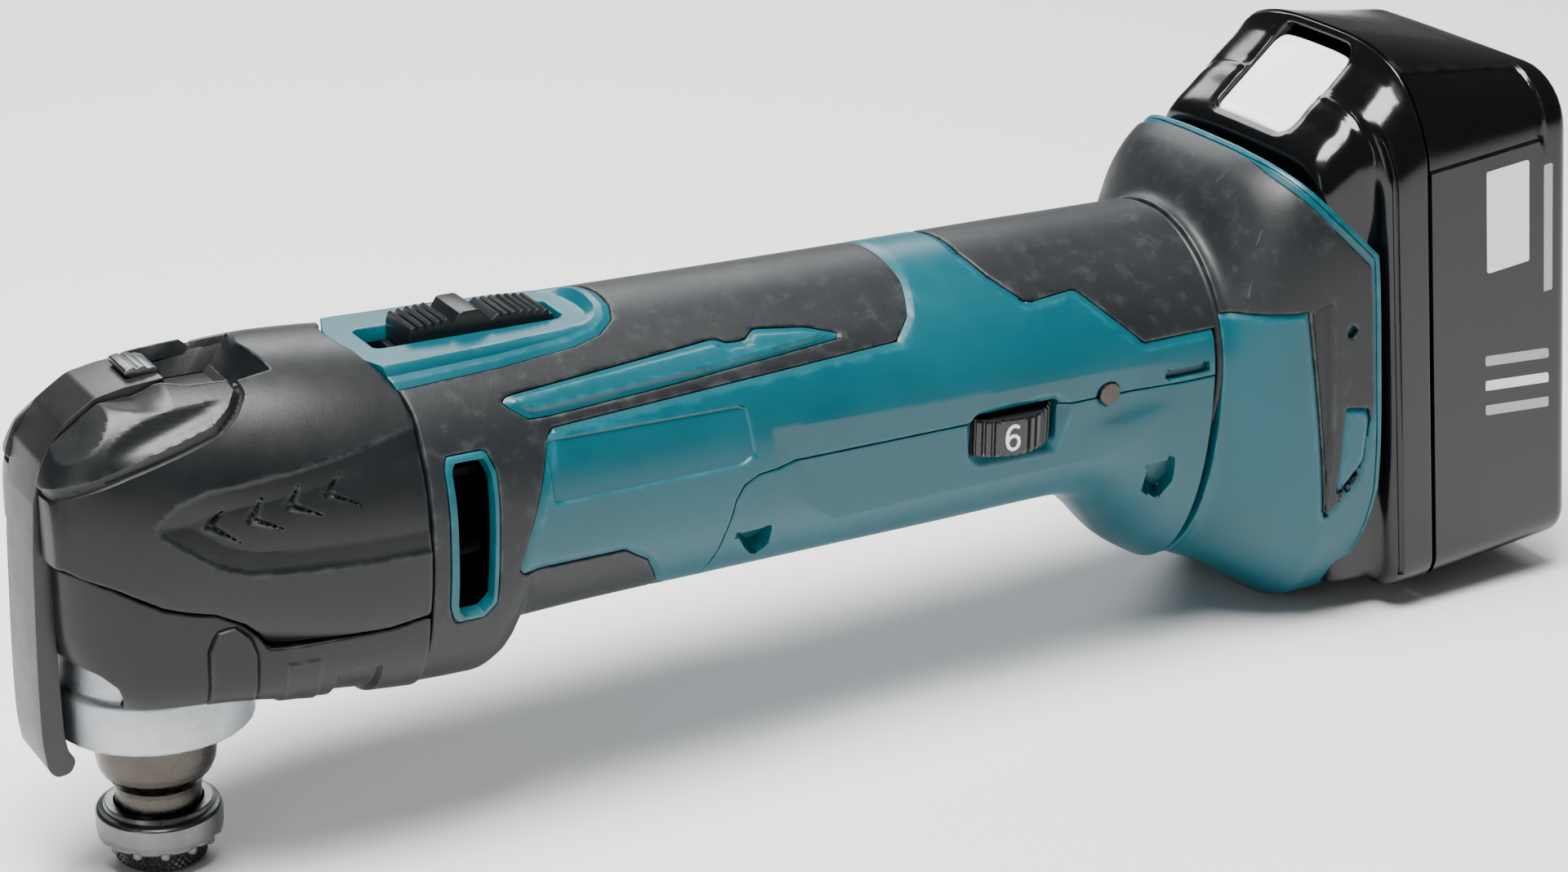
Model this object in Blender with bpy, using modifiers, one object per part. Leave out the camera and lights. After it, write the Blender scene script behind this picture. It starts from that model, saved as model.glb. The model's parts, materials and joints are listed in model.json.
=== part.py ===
# Cordless oscillating multi-tool with tool-less clamp lever and slide-on battery.
# Lengths below are millimetres in the tool's own layout: x = 0, y = 0 is the spindle axis,
# z = 0 is just above the underside of the clamp bolt, +x runs along the body towards the battery.
# W() turns a layout point into metres with the origin under the middle of the whole tool.
import bpy
import bmesh
import math
from mathutils import Vector, Matrix

for ob in list(bpy.data.objects):
    bpy.data.objects.remove(ob, do_unlink=True)

# ---------------------------------------------------------------- driving dimensions
MM = 0.001
ROUND = 0.62               # share of the nominal facet counts that the solids carry
ORIGIN_X = 151.44          # middle of the tool's length, in layout millimetres
ORIGIN_Z = -0.8            # underside of the clamp bolt
AXIS_Z = 70.0              # height of the motor axis
JOINT_X = 46.3             # plane between head and motor housing
BODY_END_X = 230.0         # rear end of the motor housing
BODY_R0 = 32.6             # housing radius law: R = BODY_R0 - BODY_TAPER * x
BODY_TAPER = 0.0108
WALL = 3.2
SKIN = 1.5                 # thickness of the rubber overmoulds
GAP = 0.3
COLLAR_R = 19.7
COLLAR_Z = 29.93
FLANGE_R = 12.48
KNURL_R = 9.08
BAT_TILT = math.radians(6.47)
BAT_X, BAT_Z = 315.48, 128.67   # top back corner of the battery case
BAT_L, BAT_HW = 113.0, 36.75
SEAM_D = 39.1
CRANK_E = 0.77             # throw of the eccentric
CRANK_X = 27.5             # distance from spindle to eccentric bearing
PIVOT = (-9.0, 94.5)       # lever pin, x and z
DIAL_C = (179.5, -18.3, 66.0)
DIAL_R = 13.0


def W(x, y, z):
    return Vector(((x - ORIGIN_X) * MM, y * MM, (z - ORIGIN_Z) * MM))


def B(l, d, y=0.0):
    """Battery coordinates: l down along the rails from the top, d forward from the back face."""
    s, c = math.sin(BAT_TILT), math.cos(BAT_TILT)
    return (BAT_X + l * s - d * c, y, BAT_Z - l * c - d * s)


def facets(n):
    return max(10, 2 * int(round(n * ROUND / 2)))


coll = bpy.data.collections.new("oscillating_multi_tool")
bpy.context.scene.collection.children.link(coll)
cutters = bpy.data.collections.new("cutters")
bpy.context.scene.collection.children.link(cutters)

MATS = {}


def material(name, rgb, rough, metal=0.0):
    m = bpy.data.materials.new(name)
    m.use_nodes = True
    p = m.node_tree.nodes["Principled BSDF"]
    p.inputs["Base Color"].default_value = (rgb[0], rgb[1], rgb[2], 1)
    p.inputs["Roughness"].default_value = rough
    p.inputs["Metallic"].default_value = metal
    MATS[name] = m
    return m


material("teal_plastic", (0.012, 0.22, 0.28), 0.45)
material("black_plastic", (0.03, 0.033, 0.036), 0.45)
material("black_rubber", (0.045, 0.05, 0.053), 0.6)
material("gloss_black", (0.012, 0.012, 0.013), 0.2)
material("cast_aluminium", (0.55, 0.58, 0.6), 0.42, 1.0)
material("steel", (0.45, 0.45, 0.45), 0.3, 1.0)
material("dark_steel", (0.16, 0.15, 0.14), 0.35, 1.0)
material("copper", (0.7, 0.33, 0.16), 0.4, 1.0)
material("brass", (0.7, 0.55, 0.25), 0.35, 1.0)
material("carbon", (0.03, 0.03, 0.03), 0.7)
material("board_green", (0.02, 0.12, 0.05), 0.5)
material("cell_wrap", (0.05, 0.2, 0.5), 0.4)
material("white_plastic", (0.8, 0.82, 0.82), 0.35)
material("clear_lens", (0.85, 0.87, 0.88), 0.15)


def finish(ob, name, mat, where=None, smooth=True):
    ob.name = name
    ob.data.name = name
    for c in list(ob.users_collection):
        c.objects.unlink(ob)
    (where or coll).objects.link(ob)
    if mat:
        ob.data.materials.clear()
        # each node has a material of its own, copied from its family
        m = MATS[mat].copy()
        m.name = name + "_" + mat
        ob.data.materials.append(m)
    if smooth and ob.type == 'MESH':
        ob.data.shade_smooth()
        ob.data.set_sharp_from_angle(angle=math.radians(35))
    if where is cutters:
        ob.hide_render = True
        ob.display_type = 'WIRE'
    return ob


def from_bm(bm, name, mat, where=None, loc=None):
    bmesh.ops.recalc_face_normals(bm, faces=bm.faces)
    me = bpy.data.meshes.new(name)
    bm.to_mesh(me)
    bm.free()
    ob = bpy.data.objects.new(name, me)
    coll.objects.link(ob)
    if loc is not None:
        ob.location = loc
    return finish(ob, name, mat, where)


def box(name, mat, lo, hi, bevel=0.0, segs=2, where=None, rot=None, at=None):
    """Box between two layout corners; with rot/at it is made round its own middle."""
    bm = bmesh.new()
    bmesh.ops.create_cube(bm, size=1.0)
    size = [(hi[i] - lo[i]) * MM for i in range(3)]
    for v in bm.verts:
        v.co = Vector((v.co.x * size[0], v.co.y * size[1], v.co.z * size[2]))
    mid = W(*[(hi[i] + lo[i]) / 2 for i in range(3)])
    ob = from_bm(bm, name, mat, where, at if at is not None else mid)
    if rot:
        ob.rotation_euler = rot
    if bevel:
        b = ob.modifiers.new("edges", 'BEVEL')
        b.width = bevel * MM
        b.segments = segs
        b.limit_method = 'ANGLE'
    return ob


def cyl(name, mat, r, length, centre, axis='Z', segs=32, r2=None, where=None, bevel=0.0):
    bm = bmesh.new()
    bmesh.ops.create_cone(bm, cap_ends=True, segments=facets(segs), radius1=r * MM,
                          radius2=(r if r2 is None else r2) * MM, depth=length * MM)
    ob = from_bm(bm, name, mat, where, W(*centre))
    if axis == 'X':
        ob.rotation_euler = (0, math.pi / 2, 0)
    if axis == 'Y':
        ob.rotation_euler = (math.pi / 2, 0, 0)
    if bevel:
        b = ob.modifiers.new("edges", 'BEVEL')
        b.width = bevel * MM
        b.segments = 2
        b.limit_method = 'ANGLE'
    return ob


def turned(name, mat, profile, centre, axis='Z', segs=32, where=None, closed=False):
    """Solid of revolution: profile is (radius, height) pairs down the outer side, top to bottom."""
    bm = bmesh.new()
    vs = [bm.verts.new((r * MM, 0, h * MM)) for r, h in profile]
    n = len(vs)
    for i in range(n - 1 + (1 if closed else 0)):
        bm.edges.new((vs[i], vs[(i + 1) % n]))
    me = bpy.data.meshes.new(name)
    bm.to_mesh(me)
    bm.free()
    ob = bpy.data.objects.new(name, me)
    coll.objects.link(ob)
    ob.location = W(*centre)
    if axis == 'X':
        ob.rotation_euler = (0, math.pi / 2, 0)
    s = ob.modifiers.new("turn", 'SCREW')
    s.steps = facets(segs)
    s.render_steps = facets(segs)
    s.use_merge_vertices = True
    s.merge_threshold = 0.00001
    s.use_smooth_shade = True
    return finish(ob, name, mat, where, smooth=False)


def prism(name, mat, pts, axis, lo, hi, where=None, bevel=0.0, segs=2):
    """Flat outline as a filled curve, extruded between lo and hi along axis, then meshed.
    axis 'Y': points are (x, z); 'Z': (x, y); 'X': (y, z)."""
    cu = bpy.data.curves.new(name, 'CURVE')
    cu.dimensions = '2D'
    cu.fill_mode = 'BOTH'
    cu.extrude = (hi - lo) / 2 * MM
    sp = cu.splines.new('POLY')
    sp.points.add(len(pts) - 1)
    for i, (a, b) in enumerate(pts):
        sp.points[i].co = (a * MM, b * MM, 0, 1)
    sp.use_cyclic_u = True
    tmp = bpy.data.objects.new(name, cu)
    coll.objects.link(tmp)
    dg = bpy.context.evaluated_depsgraph_get()
    me = bpy.data.meshes.new_from_object(tmp.evaluated_get(dg))
    mid = (hi + lo) / 2
    if axis == 'Z':
        M = Matrix.Translation(W(0, 0, mid))
    elif axis == 'Y':
        M = Matrix.Translation(W(0, mid, 0)) @ Matrix.Rotation(math.pi / 2, 4, 'X')
    else:
        M = Matrix.Translation(W(mid, 0, 0)) @ Matrix(((0, 0, 1, 0), (1, 0, 0, 0), (0, 1, 0, 0), (0, 0, 0, 1)))
    bpy.data.objects.remove(tmp)
    bm = bmesh.new()
    bm.from_mesh(me)
    bmesh.ops.remove_doubles(bm, verts=bm.verts, dist=0.000005)
    bmesh.ops.dissolve_limit(bm, angle_limit=0.001, verts=bm.verts, edges=bm.edges)
    bpy.data.meshes.remove(me)
    ob = from_bm(bm, name, mat, where)
    ob.matrix_world = M
    if bevel:
        b = ob.modifiers.new("edges", 'BEVEL')
        b.width = bevel * MM
        b.segments = segs
        b.limit_method = 'ANGLE'
    return ob


def loft(name, mat, rings, where=None):
    """Closed solid through rings of equal point count, given in layout millimetres."""
    bm = bmesh.new()
    vr = [[bm.verts.new(W(*p)) for p in ring] for ring in rings]
    n = len(vr[0])
    for a, b in zip(vr[:-1], vr[1:]):
        for i in range(n):
            bm.faces.new((a[i], a[(i + 1) % n], b[(i + 1) % n], b[i]))
    bm.faces.new(vr[0])
    bm.faces.new(vr[-1])
    return from_bm(bm, name, mat, where)


def boolean(ob, other, op='DIFFERENCE'):
    m = ob.modifiers.new(op.lower(), 'BOOLEAN')
    m.operation = op
    m.object = other
    m.solver = 'EXACT'
    return m


def cut(ob, *others):
    for o in others:
        boolean(ob, o, 'DIFFERENCE')
    return ob


def join(ob, *others):
    for o in others:
        boolean(ob, o, 'UNION')
    return ob


def keep(ob, *others):
    for o in others:
        boolean(ob, o, 'INTERSECT')
    return ob


def pivot(name, x, y, z, rot=None):
    e = bpy.data.objects.new(name, None)
    e.empty_display_size = 0.01
    coll.objects.link(e)
    e.location = W(x, y, z)
    if rot:
        e.rotation_euler = rot
    return e


def ride(e, *obs):
    inv = (Matrix.Translation(e.location) @ e.rotation_euler.to_matrix().to_4x4()).inverted()
    for o in obs:
        o.parent = e
        o.matrix_parent_inverse = inv


def offset_poly(pts, d):
    """Outline moved outwards by d (inwards when negative)."""
    area = sum(a[0] * b[1] - b[0] * a[1] for a, b in zip(pts, pts[1:] + pts[:1]))
    sgn = 1.0 if area > 0 else -1.0
    out = []
    n = len(pts)
    for i in range(n):
        p0, p1, p2 = Vector(pts[i - 1]), Vector(pts[i]), Vector(pts[(i + 1) % n])
        e1, e2 = (p1 - p0).normalized(), (p2 - p1).normalized()
        n1 = Vector((e1.y, -e1.x)) * sgn
        n2 = Vector((e2.y, -e2.x)) * sgn
        k = 1.0 + n1.dot(n2)
        m = (n1 + n2) / max(k, 0.4)
        out.append((p1.x + m.x * d, p1.y + m.y * d))
    return out


# ---------------------------------------------------------------- sections
def body_r(x):
    return BODY_R0 - BODY_TAPER * x


def section(x, hw, top, bot, off=0.0, n=28, zc=AXIS_Z, pt=2.0, pb=2.0):
    """Closed ring at x: half-width hw, upper and lower extents, superellipse exponents."""
    ring = []
    for i in range(n):
        t = 2 * math.pi * i / n
        c, s = math.cos(t), math.sin(t)
        p = pt if s >= 0 else pb
        r = (abs(c) ** p + abs(s) ** p) ** (-1.0 / p)
        h = (top - zc - off) if s >= 0 else (zc - bot - off)
        ring.append((x, (hw - off) * c * r, zc + h * s * r))
    return ring


def carried_on(a, b, x):
    """Station at x on the straight line through stations a and b."""
    t = (x - a[0]) / (b[0] - a[0])
    return tuple(p + (q - p) * t for p, q in zip(a, b))


def stations(table, off, x_from=None, x_to=None, n=28):
    rows = [tuple(r) for r in table]
    if x_from is not None:
        rows.insert(0, carried_on(rows[0], rows[1], x_from))
    if x_to is not None:
        rows.append(carried_on(rows[-1], rows[-2], x_to))
    return [section(r[0], r[1], r[2], r[3], off, n, pt=r[4], pb=r[5]) for r in rows]


# motor housing: round in front, underside swelling towards the battery
BODY = [
    (36.0, 32.2, 102.2, 31.0, 2.0, 2.6),
    (JOINT_X, 32.1, 102.1, 30.2, 2.0, 2.6),
    (60.0, 31.95, 101.95, 29.8, 2.0, 2.6),
    (65.0, 31.9, 101.9, 31.4, 2.0, 2.4),
    (70.0, 31.85, 101.85, 37.6, 2.0, 2.0),
    (120.0, 31.3, 101.3, 38.7, 2.0, 2.0),
    (170.0, 30.8, 100.95, 39.15, 2.0, 2.0),
    (198.0, 30.7, 100.9, 39.6, 2.0, 2.0),
    (206.0, 30.6, 100.8, 38.4, 2.0, 2.0),
    (214.0, 30.5, 100.75, 32.0, 2.0, 2.0),
    (222.0, 30.4, 100.7, 24.6, 2.0, 2.1),
    (BODY_END_X, 30.3, 100.6, 19.6, 2.0, 2.2),
]

# ---------------------------------------------------------------- head
# aluminium gear housing: collar column below, barrel towards the motor
gear_housing = turned("gear_housing", "cast_aluminium",
                      [(0, 79.0), (14.6, 79.0), (16.5, 77.0), (16.5, 52.0), (17.2, 41.5),
                       (COLLAR_R - 0.6, 40.0), (COLLAR_R, 39.4), (COLLAR_R, COLLAR_Z + 0.5),
                       (COLLAR_R - 0.5, COLLAR_Z), (0, COLLAR_Z)], (0, 0, 0), segs=48)
barrel = cyl("barrel_form", None, 20.4, 44.0, (25.5, 0, AXIS_Z), 'X', 40, r2=26.0, where=cutters)
barrel_in = cyl("barrel_hollow", None, 18.2, 26.0, (25.5, 0, AXIS_Z), 'X', 36, r2=22.0, where=cutters)
bore_low = cyl("spindle_bore", None, 14.2, 26.0, (0, 0, 30.0), 'Z', 36, where=cutters)
bore_mid = cyl("spindle_chamber", None, 13.4, 27.0, (0, 0, 55.0), 'Z', 36, where=cutters)
bore_top = cyl("upper_bore", None, 10.9, 24.0, (0, 0, 77.0), 'Z', 32, where=cutters)
bore_motor = cyl("front_bearing_bore", None, 11.2, 20.0, (44.0, 0, AXIS_Z), 'X', 32, where=cutters)
window = box("arm_window", None, (5.0, -13.5, 52.5), (20.0, 13.5, 84.0), where=cutters)
lever_room = box("cam_room", None, (-26.0, -8.6, 79.2), (15.5, 8.6, 110.0), where=cutters)
join(gear_housing, barrel)
cut(gear_housing, barrel_in, bore_low, bore_mid, bore_top, bore_motor, window, lever_room)

# black head cover: loft from the round joint to the narrow nose
HEAD = [
    (JOINT_X - GAP, 32.3, 102.0, 38.0, 2.0, 2.0),
    (36.0, 32.0, 102.9, 38.6, 2.05, 2.0),
    (24.0, 30.6, 103.5, 40.5, 2.1, 2.0),
    (12.0, 28.2, 103.3, 43.0, 2.15, 2.1),
    (2.0, 25.6, 102.5, 46.0, 2.3, 2.2),
    (-8.0, 22.4, 100.4, 50.0, 2.6, 2.3),
    (-15.0, 19.6, 97.8, 56.0, 3.0, 2.4),
    (-19.5, 17.2, 93.0, 61.5, 3.2, 2.6),
    (-22.2, 15.2, 87.5, 66.5, 3.4, 3.0),
]
HEAD_IN = [(x if i else x + 1.0, hw, t, b, pt, pb) for i, (x, hw, t, b, pt, pb) in enumerate(HEAD[:-2])]
head_cover = loft("head_cover", "black_plastic", stations(HEAD, 0.0))
head_void = loft("head_hollow", None, stations(HEAD_IN, 2.6), where=cutters)
# lower limit of the cover, seen from the side
# the joint with the motor housing runs upright and leans forward near the top
JOINT_LINE = [(JOINT_X, 0.0), (JOINT_X, 92.0), (45.5, 95.5), (43.6, 98.7), (40.9, 101.4), (38.9, 102.4), (37.5, 103.6), (37.5, 120.0)]
COVER_LINE = [(x - GAP, z) for x, z in reversed(JOINT_LINE[1:])] + [(JOINT_X - GAP, 48.6), (37.0, 48.6), (18.0, 50.0), (11.5, 54.5), (3.0, 59.0),
              (-6.0, 61.8), (-16.0, 67.0), (-19.0, 69.0), (-40, 69.5), (-40, 120)]
cover_zone = prism("cover_zone", None, COVER_LINE, 'Y', -60, 60, where=cutters)
channel = prism("lever_channel", None, [(-40, 60), (-13.2, 60), (-13.2, 79), (16.5, 79), (22.5, 120), (-40, 120)],
                'Y', -8.4, 8.4, where=cutters)
gear_room = turned("gear_room", None, [(0, 84.0), (17.0, 84.0), (17.0, 50.0), (18.0, 40.0), (0, 40.0)],
                   (0, 0, 0), segs=40, where=cutters)
barrel_room = cyl("barrel_room", None, 20.9, 44.6, (25.5, 0, AXIS_Z), 'X', 40, r2=26.6, where=cutters)
keep(head_cover, cover_zone)
cut(head_cover, head_void, gear_room, barrel_room, channel)

# lower cover of the head, wrapped round the collar
LOWER = [
    (JOINT_X - GAP, 30.0, 60.0, 31.4, 2.0, 3.0),
    (36.0, 29.6, 60.0, 32.2, 2.0, 3.0),
    (22.0, 27.8, 60.0, 34.8, 2.0, 3.0),
    (10.0, 25.2, 60.0, 38.0, 2.0, 3.0),
    (0.0, 23.4, 60.0, 40.6, 2.0, 3.2),
    (-8.0, 21.2, 60.0, 41.8, 2.0, 3.2),
    (-14.0, 18.2, 60.0, 43.2, 2.0, 3.2),
    (-18.5, 14.0, 60.0, 46.5, 2.0, 3.2),
    (-20.6, 9.4, 60.0, 50.5, 2.0, 3.2),
]


def lower_rings(off):
    rings = []
    for i, (x, hw, top, bot, pt, pb) in enumerate(LOWER):
        ring = []
        n = 26
        for k in range(n):
            t = 2 * math.pi * k / n
            c, s = math.cos(t), math.sin(t)
            p = 8.0 if s >= 0 else pb
            r = (abs(c) ** p + abs(s) ** p) ** (-1.0 / p)
            h = 12.0 if s >= 0 else (60.0 - bot - off)
            ring.append((x, (hw - off) * c * r, 60.0 + h * s * r))
        rings.append(ring)
    return rings


head_lower_cover = loft("head_lower_cover", "black_plastic", lower_rings(0.0))
lower_void = loft("head_lower_hollow", None, lower_rings(2.4)[:-1], where=cutters)
under_zone = prism("under_zone", None, [(60, 10), (60, 48.2), (37.0, 48.2), (17.8, 49.6), (11.3, 54.1),
                                        (2.8, 58.6), (-6.2, 61.4), (-16.2, 66.6), (-19.2, 68.6), (-40, 69.0),
                                        (-40, 10)], 'Y', -60, 60, where=cutters)
gear_room2 = turned("gear_room_low", None, [(0, 84.0), (17.0, 84.0), (17.0, 50.0), (17.8, 41.6), (20.1, 40.5),
                                            (20.1, 20.0), (0, 20.0)], (0, 0, 0), segs=40, where=cutters)
lower_inner = box("lower_through", None, (-12.0, -12.0, 56.0), (44.0, 12.0, 80.0), where=cutters)
keep(head_lower_cover, under_zone)
cut(head_lower_cover, lower_void, gear_room2, barrel_room, lower_inner)

# clamp lever, bent over the nose and hanging in front of the collar
LEVER_OUT = [(3.0, 102.0), (-5.0, 101.7), (-10.9, 101.0), (-17.4, 97.4), (-22.4, 90.6), (-24.7, 82.0), (-24.8, 70.0),
             (-24.9, 50.0), (-25.0, 40.0), (-24.9, 32.0), (-24.1, 26.4), (-22.6, 24.6), (-19.6, 25.0), (-18.5, 27.6), (-19.9, 29.6),
             (-20.5, 33.0), (-20.7, 40.0), (-20.9, 60.0), (-20.6, 78.0), (-19.2, 84.6), (-15.0, 90.6), (-13.0, 88.6), (-9.0, 87.6),
             (-4.6, 89.6), (-2.0, 93.2), (-1.6, 97.6), (3.0, 98.4)]
lock_lever = prism("lock_lever", "black_plastic", LEVER_OUT, 'Y', -8.0, 8.0, bevel=0.9)
pin_hole = cyl("pin_hole", None, 2.12, 40, (PIVOT[0], 0, PIVOT[1]), 'Y', 24, where=cutters)
cut(lock_lever, pin_hole)
lever_pin = cyl("lever_pin", "steel", 2.0, 27.0, (PIVOT[0], 0, PIVOT[1]), 'Y', 24)
pin_seat = cyl("pin_seat", None, 2.3, 27.6, (PIVOT[0], 0, PIVOT[1]), 'Y', 24, where=cutters)
cut(head_cover, pin_seat)
lever_cam = prism("lever_cam", "steel", [(-0.9, 101.2), (-1.25, 97.6), (3.4, 97.6), (3.4, 101.8), (1.2, 103.2), (-3.4, 103.3), (-3.4, 102.4), (-0.9, 102.4)],
                  'Y', -4.6, 4.6)
cam_seat = prism("cam_seat", None, [(-4.0, 110), (-4.0, 102.05), (-1.55, 102.05), (-1.55, 97.2), (6.0, 97.2), (6.0, 110)], 'Y', -5.0, 5.0, where=cutters)
cut(lock_lever, cam_seat)
lever_empty = pivot("lever_axis", PIVOT[0], 0, PIVOT[1])
ride(lever_empty, lock_lever, lever_cam)

# clamp: plunger pressed by the lever, spring round it, knurled bolt that holds the blade
plunger = turned("clamp_plunger", "steel", [(0, 80.6), (4.6, 80.6), (5.2, 80.0), (5.2, 78.2), (3.4, 78.2), (3.4, 60.5), (0, 60.5)],
                 (0, 0, 0), segs=24)
cu = bpy.data.curves.new("clamp_spring", 'CURVE')
cu.dimensions = '3D'
cu.bevel_depth = 0.45 * MM
cu.bevel_resolution = 1
cu.use_fill_caps = True
sp = cu.splines.new('POLY')
TURNS, PER = 2.5, 12
sp.points.add(int(TURNS * PER))
for i in range(int(TURNS * PER) + 1):
    a = 2 * math.pi * i / PER
    z = 74.85 + (77.45 - 74.85) * i / (TURNS * PER)
    p = W(4.3 * math.cos(a), 4.3 * math.sin(a), z)
    sp.points[i].co = (p.x, p.y, p.z, 1)
tmp = bpy.data.objects.new("clamp_spring", cu)
coll.objects.link(tmp)
me = bpy.data.meshes.new_from_object(tmp.evaluated_get(bpy.context.evaluated_depsgraph_get()))
bpy.data.objects.remove(tmp)
bm = bmesh.new()
bm.from_mesh(me)
bmesh.ops.remove_doubles(bm, verts=bm.verts, dist=0.000002)
clamp_spring = from_bm(bm, "clamp_spring", "steel")
plunger_empty = pivot("plunger_axis", 0, 0, 70)
ride(plunger_empty, plunger)

clamp_bolt = turned("clamp_bolt", "dark_steel", [(0, 58.0), (3.2, 58.0), (4.0, 57.0), (4.0, 52.0), (3.3, 51.4), (3.3, 49.6), (4.0, 49.0),
                                               (4.0, 3.9), (KNURL_R - 0.3, 3.9), (KNURL_R, 3.5), (KNURL_R, 0.1), (KNURL_R - 0.9, -0.8), (0, -0.8)],
                    (0, 0, 0), segs=36)
spindle = turned("spindle", "dark_steel", [(3.7, 74.3), (7.0, 74.3), (7.0, 53.4), (7.6, 53.4), (7.6, 44.0), (8.4, 44.0), (8.4, 31.5),
                                         (11.8, 29.4), (11.8, 21.0), (10.9, 18.2), (9.3, 16.6), (8.4, 15.8),
                                         (8.4, 7.2), (7.4, 7.2), (7.4, 4.25), (4.3, 4.25), (4.3, 59.0), (3.7, 59.6)],
                 (0, 0, 0), segs=40, closed=True)
flange = turned("accessory_flange", "steel", [(9.0, 11.9), (10.2, 11.9), (10.6, 10.8), (FLANGE_R - 0.5, 10.8), (FLANGE_R, 10.3), (FLANGE_R, 5.2),
                                            (FLANGE_R - 0.6, 4.6), (7.7, 4.6), (7.7, 6.9), (9.0, 6.9)],
                (0, 0, 0), segs=48, closed=True)
for i in range(12):
    a = 2 * math.pi * (i + 0.5) / 12
    p = cyl("flange_pin_%02d" % i, None, 0.9, 2.6, (10.4 * math.cos(a), 10.4 * math.sin(a), 4.3), 'Z', 10, where=cutters)
    join(flange, p)
spindle_empty = pivot("spindle_axis", 0, 0, 40)
bolt_empty = pivot("bolt_axis", 0, 0, 20)
ride(bolt_empty, clamp_bolt)

spindle_bearing_lower = turned("spindle_bearing_lower", "steel", [(8.7, 42.5), (13.9, 42.5), (13.9, 33.0), (8.7, 33.0)], (0, 0, 0), segs=36, closed=True)
spindle_bearing_upper = turned("spindle_bearing_upper", "steel", [(7.3, 73.6), (10.6, 73.6), (10.6, 66.6), (7.3, 66.6)], (0, 0, 0), segs=32, closed=True)
# shims keep the gear housing round the bearings: its upper bore holds this one
# swing arm: hub on the spindle and a fork round the eccentric bearing
arm_hub = turned("swing_arm", "steel", [(7.9, 66.0), (12.6, 66.0), (12.6, 54.0), (7.9, 54.0)], (0, 0, 0), segs=36, closed=True)
arm_l = prism("fork_left", None, [(9.0, 54.2), (14.0, 54.2), (24.5, 61.0), (33.5, 61.0), (33.5, 79.0), (24.5, 79.0), (18.5, 65.8), (9.0, 65.8)],
              'Y', -12.6, -9.75, where=cutters)
arm_r = prism("fork_right", None, [(9.0, 54.2), (14.0, 54.2), (24.5, 61.0), (33.5, 61.0), (33.5, 79.0), (24.5, 79.0), (18.5, 65.8), (9.0, 65.8)],
              'Y', 9.75, 12.6, where=cutters)
arm_web = box("fork_web", None, (9.5, -12.6, 54.6), (14.5, 12.6, 65.4), where=cutters)
join(arm_hub, arm_web, arm_l, arm_r)
ride(spindle_empty, spindle, flange, arm_hub)

# ---------------------------------------------------------------- drive train on the motor axis
shaft = turned("eccentric_shaft", "steel", [(0, 39.3), (6.2, 39.3), (6.2, 32.5), (5.0, 32.5), (5.0, 31.4), (0, 31.4)], (0, 0, AXIS_Z), 'X', segs=28)
pin = cyl("crank_pin", None, 3.6, 9.0, (27.8, 0, AXIS_Z + CRANK_E), 'X', 24, where=cutters)
join(shaft, pin)
eccentric_bearing = turned("eccentric_bearing", "steel", [(3.85, 3.4), (7.9, 3.4), (7.9, -3.4), (3.85, -3.4)], (CRANK_X, 0, AXIS_Z + CRANK_E), 'X', segs=32, closed=True)
balance = prism("balance_weight", "steel", [(6.5 * math.cos(a), AXIS_Z + 6.5 * math.sin(a)) for a in [math.radians(180 + 15 * i) for i in range(13)]] +
                [(13.0 * math.cos(a), AXIS_Z + 13.0 * math.sin(a)) for a in [math.radians(360 - 15 * i) for i in range(13)]],
                'X', 34.0, 38.1)
motor_bearing_front = turned("motor_bearing_front", "steel", [(4.4, 3.4), (10.9, 3.4), (10.9, -3.4), (4.4, -3.4)], (43.6, 0, AXIS_Z), 'X', segs=32, closed=True)
armature = turned("armature", "dark_steel", [(0, 137.5), (4.0, 137.5), (4.0, 106.0), (10.5, 106.0), (14.5, 103.0), (17.4, 103.0), (17.4, 73.0), (14.5, 73.0), (10.5, 70.0), (4.0, 70.0), (4.0, 39.8), (0, 39.8)],
                  (0, 0, AXIS_Z), 'X', segs=32)
commutator = turned("commutator", "copper", [(4.3, 121.5), (9.5, 121.5), (9.5, 109.0), (4.3, 109.0)], (0, 0, AXIS_Z), 'X', segs=32, closed=True)
fan = turned("fan", "black_plastic", [(4.3, 60.0), (8.0, 60.0), (8.4, 53.6), (25.0, 52.6), (25.0, 51.2), (4.3, 51.2)], (0, 0, AXIS_Z), 'X', segs=36, closed=True)
for i in range(9):
    a = 2 * math.pi * i / 9
    bl = box("fan_blade_%d" % i, None, (0, 0, 0), (7.6, 16.6, 1.3), where=cutters, at=W(56.2, 16.2 * math.cos(a), AXIS_Z + 16.2 * math.sin(a)), rot=(a, 0, 0))
    join(fan, bl)
air_baffle = turned("air_baffle", "black_plastic", [(14.0, 64.5), (27.4, 64.5), (27.4, 63.0), (14.0, 63.0)], (0, 0, AXIS_Z), 'X', segs=36, closed=True)
rod_notch = box("rod_notch", None, (60.0, -6.6, 94.6), (68.0, 6.6, 104.0), where=cutters)
cut(air_baffle, rod_notch)
motor_field = turned("motor_field", "dark_steel", [(18.2, 108.0), (24.4, 108.0), (24.4, 66.0), (18.2, 66.0)], (0, 0, AXIS_Z), 'X', segs=40, closed=True)
motor_bearing_rear = turned("motor_bearing_rear", "steel", [(4.3, 3.0), (9.4, 3.0), (9.4, -3.0), (4.3, -3.0)], (133.0, 0, AXIS_Z), 'X', segs=28, closed=True)
motor_end_plate = turned("motor_end_plate", "black_plastic", [(9.8, 138.0), (24.2, 138.0), (24.2, 128.5), (12.5, 128.5), (12.5, 129.8), (9.8, 129.8)], (0, 0, AXIS_Z), 'X', segs=36, closed=True)
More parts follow.
